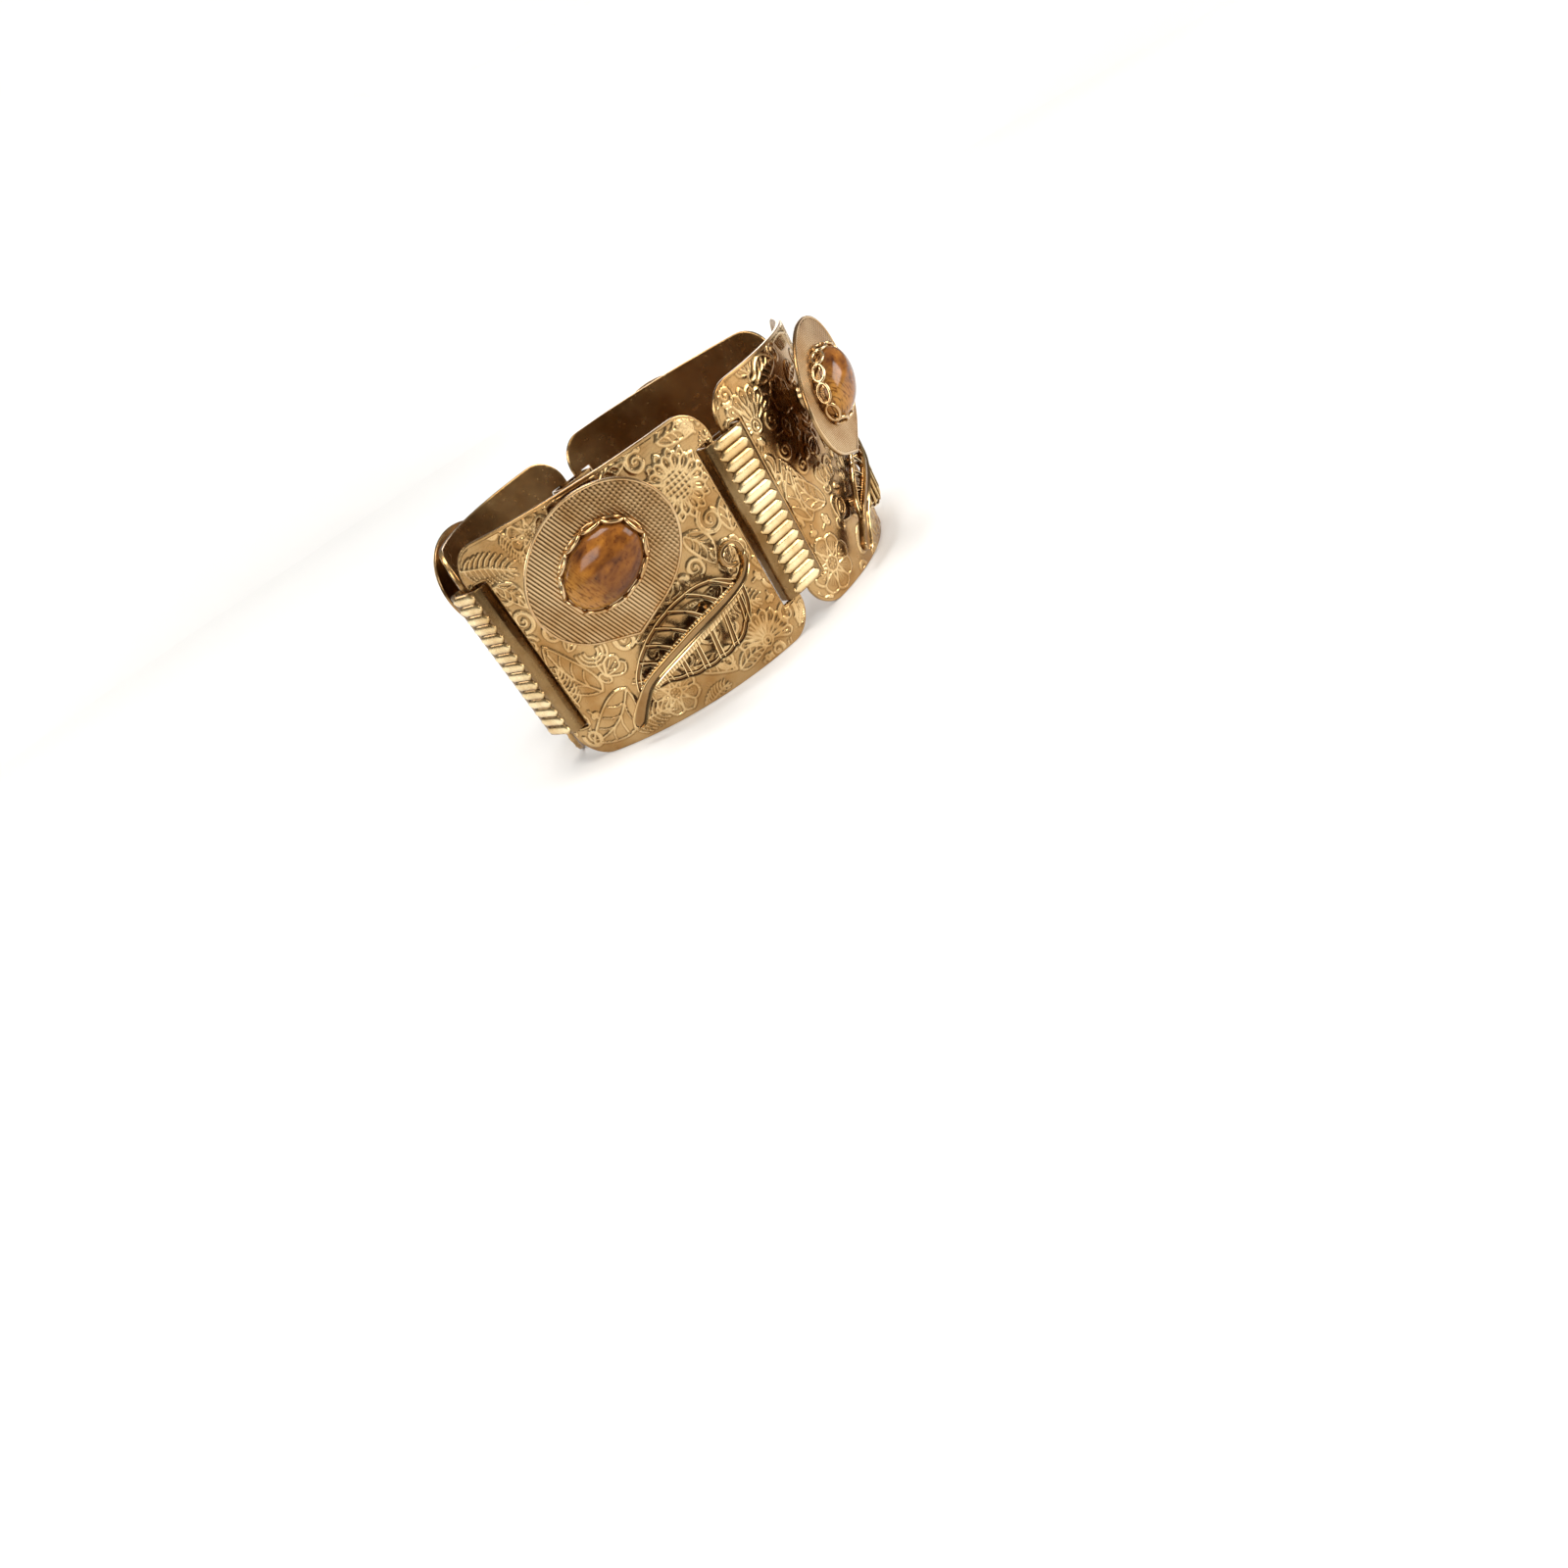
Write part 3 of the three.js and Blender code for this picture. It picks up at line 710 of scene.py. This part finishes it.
def lined_face(form):
    """Engine-turned lines over the disc, crossed into beads towards its upper right."""
    pitch, turn = DISC_LINES.pitch, DISC_LINES.turn
    outline = disc_outline(LINES_GRID)
    x, y, border, faces = sheet([outline], pitch / LINES_GRID.cuts, LINES_GRID.step, turn)
    across, along = turned(x, y, -turn)
    ridge = np.abs(np.sin(np.pi * across / pitch))
    beads = np.abs(np.sin(np.pi * along / (pitch * CROSSED_PITCH)))
    bearing = np.cos(np.arctan2(y, x) - CROSSED.bearing)
    outer = np.clip((np.hypot(x, y) - CROSSED.inner) / CROSSED.over, 0, 1)
    crossed = np.clip(bearing * CROSSED.gain - CROSSED.start, 0, 1) * outer
    tone = ridge * (1 - CROSSED.depth * crossed * (1 - beads))
    z = DISC.high - DISC_LINES.sunk + DISC_LINES.height * tone
    z[border] = DISC.high - DISC_LINES.border
    # The same tone paints shade into the grooves and a highlight on the crests.
    form.add(np.stack([x, y, z], 1), faces, tone, solid=False)


def rim_bead(form):
    """A raised bead round the disc's edge."""
    rim = disc_outline(RIM)
    along = np.roll(rim, -1, 0) - np.roll(rim, 1, 0)
    along /= np.linalg.norm(along, axis=1)[:, None]
    a = np.linspace(0, TURN, STEPS.bead, endpoint=False)
    off, up = RIM.half * np.cos(a), DISC.high - RIM.sunk + RIM.rise * np.sin(a)
    rings = [np.stack([x - ty * off, y + tx * off, up], 1) for (x, y), (tx, ty) in zip(rim, along)]
    # Relief value 1: a painted highlight over the whole bead.
    form.add(*sweep(rings, closed_path=True), 1.0)


def bezel_ring(point, tangent):
    """A wire ring that stands on the disc and leans over the stone."""
    wire, lean = BEZEL.wire, BEZEL.lean
    middle = BEZEL.half_height + wire - BEZEL.sunk
    inward = np.array([-tangent[1], tangent[0]])
    rings = []
    for a in np.linspace(0, TURN, STEPS.ring, endpoint=False):
        ring = []
        for b in np.linspace(0, TURN, STEPS.wire, endpoint=False):
            grow = wire * math.cos(b)
            u = (BEZEL.half_width + grow) * math.cos(a)
            w = (BEZEL.half_height + grow) * math.sin(a) + middle
            off = wire * math.sin(b)
            flat = point + tangent * u + inward * (w * math.sin(lean) + off * math.cos(lean))
            ring.append((*flat, DISC.high + w * math.cos(lean) - off * math.sin(lean)))
        rings.append(ring)
    return sweep(rings, closed_path=True)


def bezel(form):
    """Wire rings soldered side by side round the stone."""
    fine = ellipse(BEZEL.long, BEZEL.short, count=STEPS.seat)
    along = run_length(fine)
    length = np.linalg.norm(np.roll(fine, -1, 0) - fine, axis=1).sum()
    c, s = math.cos(DISC.turn), math.sin(DISC.turn)
    for i in range(BEZEL.rings):
        k = int(np.searchsorted(along, length * i / BEZEL.rings))
        tangent = fine[(k + 1) % len(fine)] - fine[k - 1]
        points, faces = bezel_ring(fine[k % len(fine)], tangent / np.linalg.norm(tangent))
        # Relief value 1: a painted highlight over each ring.
        form.add(points @ np.array([[c, s, 0], [-s, c, 0], [0, 0, 1]]), faces, 1.0)


def collet(form):
    """A thin wall round the stone's girdle, inside the rings."""
    long, short = STONE.long, STONE.short
    inner = ellipse(long - COLLET.inside, short - COLLET.inside, DISC.turn, STEPS.collet)
    outer = ellipse(long + COLLET.outside, short + COLLET.outside, DISC.turn, STEPS.collet)
    top = STONE.low + STONE.girdle + COLLET.above
    outer_top, inner_top = top - COLLET.round, top - COLLET.inner_round
    foot = DISC.high - COLLET.sunk
    rings = []
    for p, q in zip(inner, outer):
        rings.append([(*q, foot), (*q, outer_top), (*((p + q) / 2), top), (*p, inner_top), (*p, foot)])
    # Relief value 1: a painted highlight over the whole wall.
    form.add(*sweep(rings, closed_path=True), 1.0)


def disc_form():
    """A thin sheet with lines and a rim, its post, and its bezel."""
    form = Form()
    outline = disc_outline(DISC_SHEET)
    form.add(*plate([outline], DISC.low, DISC.high - DISC_SHEET.sunk, DISC_SHEET.bevel))
    lined_face(form)
    rim_bead(form)
    form.add(*post(0, 0, DISC.low + POST_SUNK, DISC.post))
    bezel(form)
    collet(form)
    return form


def stone_form():
    """An oval cabochon: a girdle and a high smooth dome."""
    form = Form()
    profile = [*STONE_FOOT, (1.0, STONE.girdle)]
    for a in np.linspace(0, math.pi / 2, STEPS.dome)[1:-1]:
        profile.append((math.cos(a), STONE.girdle + STONE.dome * math.sin(a)))
    rings = []
    for r, z in profile:
        loop = ellipse(STONE.long * r, STONE.short * r, DISC.turn, STEPS.round)
        rings.append(np.column_stack([loop, np.full(STEPS.round, STONE.low + z)]))
    points, faces = sweep(rings, caps=False)
    crown = STONE.low + STONE.girdle + STONE.dome
    points = np.vstack([points, (0, 0, crown), (0, 0, STONE.low)])
    last = (len(rings) - 1) * STEPS.round
    for j in range(STEPS.round):
        k = (j + 1) % STEPS.round
        faces.append([last + j, last + k, len(points) - 2])
        faces.append([k, j, len(points) - 1])
    return form.add(points, faces)


# The leaf: points of its midrib, then sizes by distance along the midrib, above it and below it.
MIDRIB = ((-9.6, 3.3), (-7.0, 6.5), (-4.1, 8.8), (3.4, 11.4), (11.3, 13.3), (14.1, 15.0), (14.9, 17.2))
BLADE = {
    "at": (4.5, 8, 12, 16, 20, 23, 25),
    "above": (0.4, 3.0, 4.7, 5.3, 4.9, 3.4, 0.8),
    "below": (0.4, 2.1, 4.8, 6.1, 6.2, 4.3, 0.8),
}
MIDRIB_WIDTH = Sizes(at=(0, 0.5, 2, 6, 16, 26, 29), half=(1.0, 1.05, 1.1, 0.8, 0.9, 0.6, 0.42))
LEAF = Sizes(low=2.0, blade=0.6, midrib=1.1, first=7.0, last=24.0, veins=7, rim=0.4)
LEAF_POSTS = Sizes(at=(9, 20), radius=0.8, sunk=0.2)
LOBE = {"above": 0.06, "below": 0.26}
WEB = {"above": (0.25, 0.35), "below": (0.45, 0.75)}
WEB_PLACE = Sizes(before=1.2, after=0.6, ends=(0.04, 0.96), start=0.5, low=0.08, high=0.8, lip=0.1)
VEIN = {"above": (0.58, 0.38, 0.30, 0.42), "below": (0.32, 0.34, 0.38, 0.46)}
VEIN_PLACE = Sizes(short=0.5, least=0.9, low=0.06, proud=0.05, fits=6)
VEIN_BEND = {"above": (0.1, 0.45), "below": (0.34, 0.06)}
FEATHER = Sizes(pitch=0.5, height=0.1)
CURL = Sizes(radius=1.55, x=13.3, y=17.7, turn=(-0.6, 4.9), half=(0.44, 0.34), thin=0.1)


def mirrored(half):
    """A strip's section, as (across, share of its height, relief value), from its left half."""
    return half + tuple((-across, z, tone) for across, z, tone in half[-2::-1])


# The relief values paint a highlight on the raised edges and shade in the channel between them.
CHANNEL = mirrored((
    (-1, 0, 0), (-1, 0.7, 0.6), (-0.9, 1.0, 1.0), (-0.62, 0.95, 0.9), (-0.46, 0.5, 0.1), (0, 0.42, 0),
))
SPOON = mirrored((
    (-1, 0, 0), (-1, 0.7, 0.6), (-0.92, 1.0, 1.0), (-0.76, 0.95, 0.8), (-0.6, 0.76, 0.45),
    (-0.3, 0.68, 0.35), (0, 0.66, 0.3),
))


def strip(form, path, half_widths, low, height, section=CHANNEL):
    """Adds a strip with raised edges along a flat path."""
    rings = []
    for (x, y), (tx, ty), half in zip(path, directions(path), half_widths):
        rings.append([(x - ty * u * half, y + tx * u * half, low + z * height) for u, z, _ in section])
    form.add(*sweep(rings), np.tile([tone for _, _, tone in section], len(path)))


class Spine:
    """The midrib's middle line, and places beside it."""

    def __init__(self):
        self.points = smooth_chain(MIDRIB, STEPS.midrib)
        self.along = run_length(self.points)
        tangent = directions(self.points)
        self.normal = np.stack([-tangent[:, 1], tangent[:, 0]], 1)

    def beside(self, at, offset):
        at, offset = np.clip(at, 0, self.along[-1]), np.asarray(offset, float)
        point = np.stack([np.interp(at, self.along, self.points[:, k]) for k in (0, 1)], 1)
        side = np.stack([np.interp(at, self.along, self.normal[:, k]) for k in (0, 1)], 1)
        return point + side * offset.reshape(-1, 1)


class Blade:
    """One side of the leaf's blade."""

    def __init__(self, form, spine, sign, side):
        self.form, self.spine, self.sign, self.side = form, spine, sign, side
        self.edge = smooth_chain(list(zip(BLADE["at"], BLADE[side])), STEPS.edge)
        self.lean, self.curl = VEIN_BEND[side]

    def width(self, at):
        return np.interp(at, self.edge[:, 0], self.edge[:, 1])

    def rim(self):
        """The outer edge, with a shallow lobe between the ends of two veins."""
        at = np.linspace(BLADE["at"][0], BLADE["at"][-1], STEPS.rim)
        wide = self.width(at)
        share = (at - LEAF.first + wide * (self.lean + self.curl)) / (LEAF.last - LEAF.first)
        lobe = np.abs(np.sin(np.pi * (share * (LEAF.veins - 1)))) - 1
        offset = wide - LEAF.rim + LOBE[self.side] * lobe * np.clip(wide / 2, 0, 1)
        path = self.spine.beside(at, self.sign * offset)
        strip(self.form, path, np.full(STEPS.rim, LEAF.rim), LEAF.low, LEAF.blade)

    def web(self):
        """A feathered strip along the midrib."""
        at = np.linspace(LEAF.first - WEB_PLACE.before, LEAF.last + WEB_PLACE.after, STEPS.web)
        narrow, swell = WEB[self.side]
        wide = narrow + swell * np.sin(np.pi * np.linspace(*WEB_PLACE.ends, STEPS.web)) ** 0.5
        start = self.spine.beside(at, self.sign * WEB_PLACE.start)
        stop = self.spine.beside(at - self.lean * wide, self.sign * (WEB_PLACE.start + wide))
        low, high = LEAF.low + WEB_PLACE.low, LEAF.low + LEAF.blade * WEB_PLACE.high
        rings, tones = [], []
        for (px, py), (qx, qy), rise in zip(start, stop, np.abs(np.sin(np.pi * at / FEATHER.pitch))):
            top = high + FEATHER.height * rise
            rings.append([(px, py, low), (px, py, top + WEB_PLACE.lip), (qx, qy, top), (qx, qy, low)])
            # Relief values: painted shade low on the web, a painted highlight on the feathered crests.
            tones += [0.2, 0.2 + 0.3 * rise, 0.4 + 0.6 * rise, 0.2]
        self.form.add(*sweep(rings), tones)

    def veins(self):
        """Bars from the midrib to the rim."""
        for i in range(LEAF.veins):
            start = LEAF.first + (LEAF.last - LEAF.first) * i / (LEAF.veins - 1)
            reach = self.width(start) - VEIN_PLACE.short
            for _ in range(VEIN_PLACE.fits):
                reach = self.width(start - (self.lean + self.curl) * reach) - VEIN_PLACE.short
            if reach < VEIN_PLACE.least:
                continue
            part = np.linspace(0, 1, STEPS.vein)
            bent = start - reach * (self.lean * part + self.curl * part ** 2)
            path = self.spine.beside(bent, self.sign * reach * part)
            half = np.interp(part, (0, 0.3, 0.65, 1), VEIN[self.side])
            low, height = LEAF.low + VEIN_PLACE.low, LEAF.blade + VEIN_PLACE.proud
            strip(self.form, path, half, low, height)


def leaf_form():
    """A midrib with raised edges that ends in a curl, paired veins and a rimmed blade."""
    form, spine = Form(), Spine()
    for sign, side in ((1, "above"), (-1, "below")):
        blade = Blade(form, spine, sign, side)
        blade.rim()
        blade.web()
        blade.veins()
    half = np.interp(spine.along, MIDRIB_WIDTH.at, MIDRIB_WIDTH.half)
    round_end = 1 - np.clip(spine.along / half[0], 0, 1)
    half *= np.sqrt(np.maximum(1 - round_end ** 2, 0.01))
    strip(form, spine.points, half, LEAF.low, LEAF.midrib, SPOON)
    a = np.linspace(*CURL.turn, STEPS.curl)
    loop = arc(CURL.radius, a) + (CURL.x, CURL.y)
    low, height = LEAF.low + CURL.thin, LEAF.midrib - 2 * CURL.thin
    strip(form, loop, np.linspace(*CURL.half, STEPS.curl), low, height, SPOON)
    for at in LEAF_POSTS.at:
        (x, y), = spine.beside([at], 0)
        # A low relief value paints shade on the posts under the leaf.
        form.add(*post(x, y, LEAF.low + LEAF_POSTS.sunk, LEAF_POSTS.radius, 16), 0.2)
    return form


def loop_plate(form):
    """The link's flat loop: a rounded band, extruded up its height."""
    outer = rounded_rectangle(LINK.width, LINK.depth, LINK.corner, arc_steps=10)
    hole = (LINK.width - 2 * LINK.wall, LINK.depth - 2 * LINK.wall)
    inner = rounded_rectangle(*hole, LINK.corner - LINK.wall)
    low = (HEIGHT - LINK.height) / 2
    points, faces = plate([outer, inner], low, low + LINK.height, LOOP_BEVEL)
    # A low relief value paints shade over the whole loop.
    form.add(points, faces, 0.1)
    return low


def link_form():
    """A loop whose outer leg carries a row of half-round ribs with pointed ends."""
    form = Form()
    low = loop_plate(form)
    pitch = LINK.height / LINK.ribs
    half = LINK.rib_length / 2
    end = np.linspace(half, half - RIB.taper, STEPS.rib_end)
    xs = np.concatenate([-end, [-half / 3, 0, half / 3], end[::-1]])
    count = LINK.ribs * RIB.cuts + 1
    zs = low + RIB.sunk + (LINK.height - 2 * RIB.sunk) * np.linspace(0, 1, count)
    x, z = np.meshgrid(xs, zs, indexing="ij")
    across = np.abs(2 * ((z - low) / pitch % 1) - 1)
    reach = np.clip((half - np.abs(x)) / RIB.taper, 1e-3, 1) ** RIB.tip
    flank, crown = RIB.section
    arch = np.clip(1 - (across / reach) ** flank, 0, 1) ** crown
    crest = RIB.foot + (LINK.rise - RIB.foot) * arch * np.sqrt(reach)
    height = np.where(across < reach, crest, 0) - RIB.sunk
    points = np.stack([x.ravel(), (-LINK.depth / 2 - height).ravel(), z.ravel()], 1)
    corners = [i * count + j for i in range(len(xs) - 1) for j in range(count - 1)]
    faces = [[k, k + count, k + count + 1, k + 1] for k in corners]
    # The relief value, arch squared, paints shade into the grooves between ribs and a highlight on their
    # crests.
    return form.add(points, faces, arch.ravel() ** 2, solid=False)


def clasp_form():
    """The same loop with a plain bevelled cover plate."""
    form = Form()
    loop_plate(form)
    cover = rounded_rectangle(CLASP.width, CLASP.length, CLASP.corner, (0, HEIGHT / 2))
    points, faces = plate([cover], CLASP.foot, CLASP.rise, CLASP.bevel)
    out = -LINK.depth / 2 - points[:, 2] + CLASP.sunk
    return form.add(np.stack([points[:, 0], out, points[:, 1]], 1), faces)


# ---- materials ----


class Nodes:
    """Adds and joins the nodes of a material or a world."""

    def __init__(self, owner, shader="Principled BSDF"):
        owner.use_nodes = True
        self.owner, self.tree = owner, owner.node_tree
        self.shader = self.tree.nodes[shader]

    def feed(self, socket, value):
        """Joins another node's output to an input, or gives the input a plain value."""
        if isinstance(value, bpy.types.NodeSocket):
            self.tree.links.new(value, socket)
        else:
            socket.default_value = value

    def set(self, node, **values):
        """Feeds a node's inputs by name, and sets what isn't an input as a property."""
        for key, value in values.items():
            label = key.replace("_", " ")
            if label in node.inputs:
                self.feed(node.inputs[label], value)
            else:
                setattr(node, key, value)
        return node

    def add(self, kind, **values):
        return self.set(self.tree.nodes.new("ShaderNode" + kind), **values)

    def attribute(self, name, output):
        return self.add("Attribute", attribute_name=name).outputs[output]

    def coordinates(self, output):
        return self.add("TexCoord").outputs[output]

    def noise(self, spot, scale, detail, roughness=0.55):
        """Clouds; a larger scale makes them finer."""
        node = self.add("TexNoise", Vector=spot, Scale=scale, Detail=detail, Roughness=roughness)
        return node.outputs["Fac"]

    def ramp(self, factor, stops):
        node = self.add("ValToRGB", Fac=factor)
        ramp = node.color_ramp
        while len(ramp.elements) < len(stops):
            ramp.elements.new(0.5)
        for element, (place, colour) in zip(ramp.elements, stops):
            element.position = place
            element.color = (*colour, 1)
        return node.outputs["Color"]

    def mix(self, factor, a, b, blend="MIX"):
        node = self.add("Mix", data_type="RGBA", blend_type=blend)
        for socket, value in ((0, factor), (6, a), (7, b)):
            self.feed(node.inputs[socket], value)
        return node.outputs[2]

    def spread(self, factor, **ends):
        return self.add("MapRange", Value=factor, **ends).outputs["Result"]

    def split(self, spot, axis):
        return self.add("SeparateXYZ", Vector=spot).outputs[axis]


# Noise scales in features a metre, and the grain's depth in metres.
METAL = Sizes(tarnish=160, patches=700, grain=2600, grain_depth=0.04 * MM)
WORN = (0.72, 0.60, 0.46)
WHITE = (1.0, 1.0, 1.0)


def metal(name, ground, middle, painted_highlight, rough, grain=0.12):
    """Old gold: painted shade darkens the ground of the relief and a painted highlight brightens its
    ridges, with faint tarnish.
    """
    m = Nodes(bpy.data.materials.new(name))
    # The relief value picks painted shade for the ground and a painted highlight for the ridges.
    tone = m.ramp(m.attribute("relief", "Fac"), ((0.0, ground), (0.5, middle), (1.0, painted_highlight)))
    tarnish = m.ramp(m.noise(m.coordinates("Object"), METAL.tarnish, 4), ((0.36, WORN), (0.60, WHITE)))
    patches = m.noise(m.coordinates("Object"), METAL.patches, 4)
    height = m.noise(m.coordinates("Object"), METAL.grain, 3)
    bump = m.add("Bump", Height=height, Strength=grain, Distance=METAL.grain_depth)
    colour = m.mix(1.0, tone, tarnish, "MULTIPLY")
    roughness = m.spread(patches, To_Min=rough[0], To_Max=rough[1])
    normal = bump.outputs["Normal"]
    m.set(m.shader, Base_Color=colour, Roughness=roughness, Normal=normal, Metallic=1.0)
    return m.owner


AGATE_BODY = (
    (0.28, (0.05, 0.015, 0.004)), (0.42, (0.13, 0.042, 0.007)),
    (0.58, (0.22, 0.076, 0.011)), (0.74, (0.31, 0.12, 0.016)),
)
AGATE_LOWER_SIDE = (0.095, 0.036, 0.016, 1)
AGATE_FIBRES = ((0.36, (0.11, 0.038, 0.008)), (0.52, (0.36, 0.165, 0.032)))
AGATE_FLECKS = ((0.34, (0.35, 0.22, 0.18)), (0.42, WHITE))
AGATE_GLOSS = (0.10, 0.17)


def stone_material(name):
    """Polished tiger-eye: orange brown, a golden fibrous end, dark flecks and darker purple brown towards
    its lower side.
    """
    m = Nodes(bpy.data.materials.new(name))
    flat = m.attribute("flat", "Vector")
    spot = m.add("Mapping", Vector=flat, Rotation=(0, 0, -DISC.turn)).outputs["Vector"]

    def clouds(scale, detail=4.0, stretch=(1, 1, 1)):
        mapping = m.add("Mapping", Vector=spot, Scale=stretch)
        return m.noise(mapping.outputs["Vector"], scale, detail, 0.6)

    def reading(axis, start, end, wobble):
        """From 0 to 1 between two millimetre places along an axis, with a wavy border."""
        shift = m.add("Math", operation="MULTIPLY_ADD")
        for socket, value in enumerate((clouds(0.45, 3), wobble, m.split(spot, axis))):
            m.feed(shift.inputs[socket], value)
        return m.spread(shift.outputs[0], From_Min=start, From_Max=end)

    body = m.ramp(clouds(0.5, 2.5, stretch=(0.7, 1.2, 1)), AGATE_BODY)
    # Darker purple brown towards the stone's lower side.
    lower_side = m.mix(reading("Y", start=-0.8, end=-3.9, wobble=1.6), body, AGATE_LOWER_SIDE)
    fibres = m.ramp(clouds(1.0, 3, stretch=(3.4, 0.7, 1)), AGATE_FIBRES)
    golden = m.mix(reading("X", start=0.2, end=-4.6, wobble=2.4), lower_side, fibres)
    flecks = m.ramp(clouds(2.6, 3, stretch=(1, 0.5, 1)), AGATE_FLECKS)
    colour = m.mix(0.5, golden, flecks, "MULTIPLY")
    roughness = m.spread(clouds(1.5), To_Min=AGATE_GLOSS[0], To_Max=AGATE_GLOSS[1])
    m.set(m.shader, Base_Color=colour, Roughness=roughness, IOR=1.5, Specular_IOR_Level=0.22)
    return m.owner


def plain_material(name, colour, roughness):
    m = Nodes(bpy.data.materials.new(name))
    darker = tuple(0.985 * c for c in colour)
    shade = m.ramp(m.noise(m.coordinates("Object"), 6, 2), ((0.3, darker), (0.7, colour)))
    m.set(m.shader, Base_Color=shade, Roughness=roughness)
    return m.owner


# Each metal: ground, middle and ridge colours, range of roughness, strength of the grain. The ground colour
# is painted shade and the ridge colour a painted highlight.
ENGRAVED = metal(
    "engraved_gold", (0.22, 0.125, 0.048), (0.49, 0.312, 0.135), (0.75, 0.54, 0.275), (0.21, 0.31),
)
LINED = metal("lined_gold", (0.19, 0.11, 0.044), (0.36, 0.228, 0.107), (0.63, 0.44, 0.235), (0.18, 0.28))
LEAFED = metal("leaf_gold", (0.17, 0.09, 0.035), (0.39, 0.245, 0.11), (0.92, 0.70, 0.37), (0.12, 0.2))
PALE = metal("pale_gold", (0.19, 0.11, 0.044), (0.62, 0.44, 0.21), (0.95, 0.78, 0.46), (0.22, 0.32), 0.05)
AGATE = stone_material("agate")

# ---- building ----

engraved_a = panel_form(MOTIFS_A, seed=3).mesh("engraved_a", wrap)
engraved_b = panel_form(MOTIFS_B, seed=5).mesh("engraved_b", wrap)
panel_meshes = dict(zip(PANELS, (engraved_a, engraved_b, engraved_a, engraved_b)))
disc_mesh = disc_form().mesh("lined_disc", seat)
stone_mesh = stone_form().mesh("cabochon", seat)
leaf_mesh = leaf_form().mesh("openwork_leaf", wrap)
link_mesh = link_form().mesh("ribbed_link")
clasp_mesh = clasp_form().mesh("clasp")

for name in PANELS:
    place = panel_matrix(name)
    show(f"engraved_panel_{name}", panel_meshes[name], ENGRAVED, place, f"panel_{name}")
    show(f"lined_disc_{name}", disc_mesh, LINED, place, f"disc_{name}")
    show(f"cabochon_{name}", stone_mesh, AGATE, place, f"stone_{name}")
    show(f"openwork_leaf_{name}", leaf_mesh, LEAFED, place, f"leaf_{name}")

for name in ("link_front", "link_right", "link_left"):
    show(f"ribbed_{name}", link_mesh, PALE, standing(*LINKS[name]), name)
show("plain_clasp", clasp_mesh, PALE, standing(*LINKS["clasp_back"]), "clasp_back")

# ---- stage, light and camera ----

# In metres.
STAGE = Sizes(floor=0.3, radius=0.95, curve=0.35, wall=0.47)
PALE_STAGE = plain_material("pale_floor", (0.80, 0.79, 0.77), 0.6)
SKY = ((0.45, 0.20), (0.95, 0.40))  # height of a direction, brightness
SKY_TINT = (1, 0.98, 0.95)
LIGHT_AIM = (0, 0, 0.018)
# Each light: name, place, size, power in watts.
LIGHTS = (
    ("top", (0.0, 0.0, 1.0), (0.45, 0.45), 6.0),
    ("key", (-0.72, -0.42, 0.55), (0.55, 0.40), 5.0),
    ("side", (0.62, -0.50, 0.32), (0.55, 0.40), 6.0),
    ("back", (-0.45, 0.75, 0.50), (0.35, 0.30), 2.0),
    ("far", (0.60, 0.70, 0.22), (0.50, 0.30), 1.5),
)
# Place and aim in millimetres, as fitted to the photo.
CAMERA = Sizes(place=(-90.8, -148.1, 58.7), aim=(-15.4, -12.2, -21.8), roll=math.radians(-32.2))
LENS = {"lens": 24.36, "sensor_width": 36, "clip_start": 0.005}


def stage_piece(name, profile, is_floor):
    """A pale surface turned round the middle; its faces look inwards and up."""
    points, faces = sweep(circles(profile, STEPS.round), caps=False)
    if is_floor:
        faces.append(list(range(STEPS.round))[::-1])
    mesh = smooth_mesh(name, points, [face[::-1] for face in faces])
    mesh.materials.append(PALE_STAGE)
    piece = add_object(name, mesh)
    piece.visible_glossy = is_floor


def stage():
    """A pale floor, and a backdrop all round that polished metal doesn't mirror, to keep its contrast."""
    start, curve = STAGE.radius - STAGE.curve, STAGE.curve
    stage_piece("floor", [(STAGE.floor, 0.0), (start, 0.0)], True)
    bend = np.linspace(0, math.pi / 2, STEPS.stage)
    wall = [(start + curve * math.sin(a), curve * (1 - math.cos(a))) for a in bend]
    stage_piece("backdrop", [*wall, (STAGE.radius, STAGE.wall)], False)


def area_light(name, place, size, power):
    data = bpy.data.lights.new(name, "AREA")
    data.shape = "RECTANGLE"
    data.size, data.size_y = size
    data.energy = power
    lamp = add_object(name, data)
    lamp.location = place
    lamp.rotation_euler = (Vector(LIGHT_AIM) - Vector(place)).to_track_quat("-Z", "Y").to_euler()
    lamp.visible_camera = False


def sky():
    """Soft light, brighter overhead and dim at the sides."""
    world = bpy.data.worlds.new("studio")
    m = Nodes(world, "Background")
    stops = [(height, [tint * shade for tint in SKY_TINT]) for height, shade in SKY]
    m.set(m.shader, Color=m.ramp(m.split(m.coordinates("Generated"), "Z"), stops))
    bpy.context.scene.world = world


def camera():
    """The lens looks down at the front left panel and is rolled, as on a raised hand."""
    place, aim = Vector(CAMERA.place) * MM, Vector(CAMERA.aim) * MM
    data = bpy.data.cameras.new("camera")
    for key, value in LENS.items():
        setattr(data, key, value)
    lens = add_object("camera", data)
    turn = (aim - place).to_track_quat("-Z", "Y").to_matrix().to_4x4()
    lens.matrix_world = Matrix.Translation(place) @ turn @ Matrix.Rotation(CAMERA.roll, 4, "Z")
    bpy.context.scene.camera = lens


stage()
sky()
for light in LIGHTS:
    area_light(*light)
camera()
bpy.context.scene.view_settings.view_transform = "Standard"
